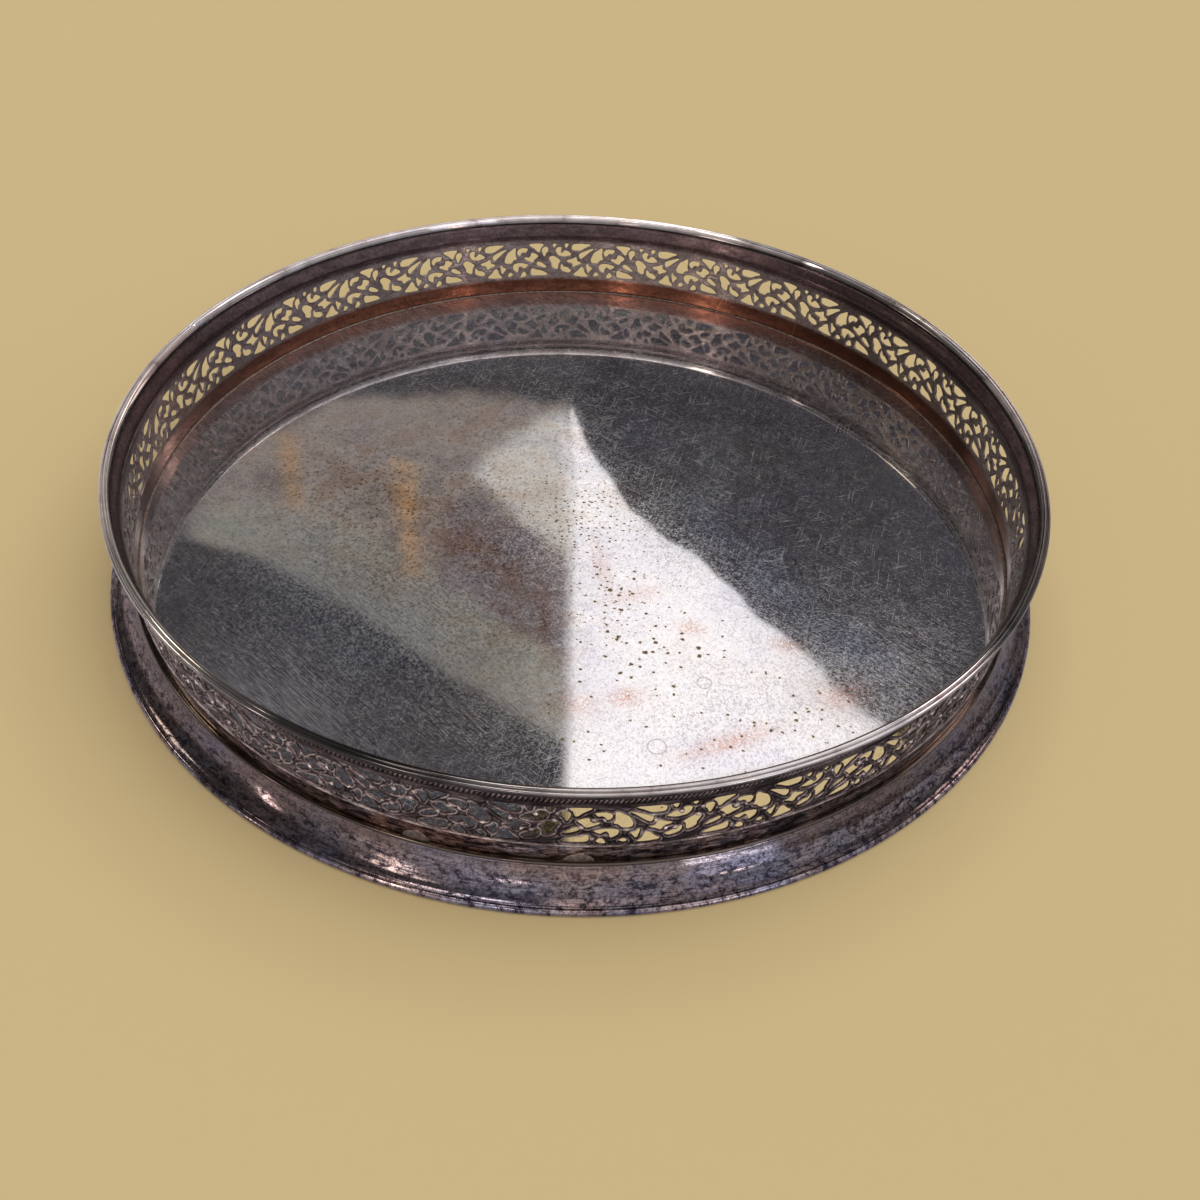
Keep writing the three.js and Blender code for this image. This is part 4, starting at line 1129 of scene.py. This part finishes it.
def glowing(name, colour):
    # A material that only shines, in the colour given or, without one, in its points' own
    material, add = newMaterial(name)
    if colour is None:
        colour = add("Attribute", attribute_name="glow").outputs["Color"]
    add("OutputMaterial", {"Surface": add("Emission", {"Color": colour})})
    return material


def hideFromMatt(card):
    # Only the polished metal sees it: it lights no matt surface and throws no shadow
    card.visible_camera = False
    card.visible_diffuse = False
    card.visible_shadow = False


def hangCard(name, mesh, material):
    # A mesh that shines in the given material, hung in the room
    card = newObject(name, mesh)
    mesh.materials.append(material)
    hideFromMatt(card)


def makeEndWall(settings):
    # A grid whose points carry the colour: each board's weight rises smoothly across its edge
    lines = [np.concatenate([np.arange(*part) for part in settings[key]]) for key in ("across", "up")]
    x, z = np.meshgrid(*lines)
    colour = np.ones(x.shape + (1,)) * toLinear(settings["colour"])
    wobble = 0.012 * np.sin(x * 17 + 1) + 0.008 * np.sin(z * 29 + x * 11) + 0.006 * np.sin(x * 43 - z * 37)
    for shade, light, fade, corners in boards.values():
        weight = smoothStep(-fade, fade, depthWithin(x, z + wobble * 0.8, np.array(corners)))[..., None]
        colour = colour * (1 - weight) + weight * light * np.array(toLinear(shade))
    points = np.stack([x, np.full(x.shape, settings["plane"]), z], 2).reshape(-1, 3)
    mesh = bpy.data.meshes.new("end_wall")
    mesh.from_pydata(points.tolist(), [], gridFaces(*x.shape).tolist())
    layer = mesh.attributes.new("glow", "FLOAT_COLOR", "POINT")
    layer.data.foreach_set("color", colour.astype(np.float32).ravel())
    material = glowing("end wall", None)
    material.cycles.emission_sampling = "NONE"
    hangCard("end_wall", mesh, material)


def makeLamp(name, colour, light, turned, height, width, tall, distance):
    # A square card facing the tray: its middle lies out along the given direction
    turned, height = math.radians(turned), math.radians(height)
    out = np.array([math.sin(turned) * math.cos(height), math.cos(turned) * math.cos(height),
                    math.sin(height)])
    across = np.array([math.cos(turned), -math.sin(turned), 0.0])
    upwards = np.cross(across, out)
    halfWidth = distance * math.tan(math.radians(width / 2))
    halfTall = distance * math.tan(math.radians(tall / 2))
    corners = [out * distance + across * halfWidth * i + upwards * halfTall * j
               for i, j in ((-1, -1), (1, -1), (1, 1), (-1, 1))]
    mesh = bpy.data.meshes.new(name)
    mesh.from_pydata([tuple(corner) for corner in corners], [], [(0, 1, 2, 3)])
    shine = tuple(c * light for c in toLinear(colour)[:3]) + (1.0,)
    hangCard(name, mesh, glowing(name + " lamp", shine))


def makeSheet(name, points, faces, colour):
    # One matt sheet, for the table and its backdrop
    mesh = bpy.data.meshes.new(name)
    mesh.from_pydata(points.tolist(), [], faces.tolist())
    mesh.polygons.foreach_set("use_smooth", np.ones(len(faces), bool))
    sheet = newObject(name, mesh)
    material, add = newMaterial(name)
    add("OutputMaterial", {"Surface": add("BsdfDiffuse", {"Color": toLinear(colour)})})
    mesh.materials.append(material)
    return sheet


def makeStage(settings):
    # The sheet is level, then rises in a quarter ellipse, turned round the axis
    steps, spokes = 12, 96
    quarter = np.linspace(0, np.pi / 2, steps)
    radius = np.concatenate([[0.0], np.linspace(0.2, settings["flat"], steps),
                             settings["flat"] + settings["bend"] * np.sin(quarter)[1:]])
    height = np.concatenate([np.zeros(steps + 1), settings["rise"] * (1 - np.cos(quarter))[1:]])
    angle = np.linspace(0, 2 * np.pi, spokes, endpoint=False)
    points = np.stack([radius[:, None] * np.cos(angle), radius[:, None] * np.sin(angle),
                       height[:, None] + 0 * angle], 2).reshape(-1, 3)
    faces = gridFaces(len(radius), spokes, True)
    makeSheet("khaki_paper", points, faces, settings["table"])
    # The polished metal sees a grey felt in its place
    felt = makeSheet("grey_felt", points * [0.995, 0.995, 1] + [0, 0, 0.0004], faces, settings["mat"])
    hideFromMatt(felt)

    world = bpy.data.worlds.new("studio")
    world.use_nodes = True
    world.node_tree.nodes.clear()
    add = functools.partial(addNode, world.node_tree)
    facing = add("TexCoord")
    side = add("VectorMath", {0: facing.outputs["Generated"], 1: settings["lean"]},
               operation="DOT_PRODUCT")
    dull, bright, low, high = settings["room"]
    level = add("MapRange", {0: side, 1: dull, 2: bright, 3: low, 4: high})
    across = add("SeparateXYZ", {0: facing.outputs["Generated"]})
    cooler = add("MapRange", {0: across.outputs[0], 1: -0.7, 2: 0.7})
    tone = add("Mix", {0: cooler, 6: toLinear("#f8f1ee"), 7: toLinear("#ecedf3")}, **over)
    sky = add("Background", {"Color": tone, "Strength": level})
    add("OutputWorld", {"Surface": sky})
    bpy.context.scene.world = world

    fill = newObject("fill", bpy.data.lights.new("fill", "SUN"))
    fill.data.energy = settings["fill"]
    fill.data.angle = math.radians(70)
    fill.rotation_euler = (math.radians(-12), math.radians(10), 0)
    fill.visible_glossy = False
    makeEndWall(endWall)
    for name, lamp in lamps.items():
        makeLamp(name, *lamp, settings["lampsAt"])


makeStage(stage)
print("stage and light made")
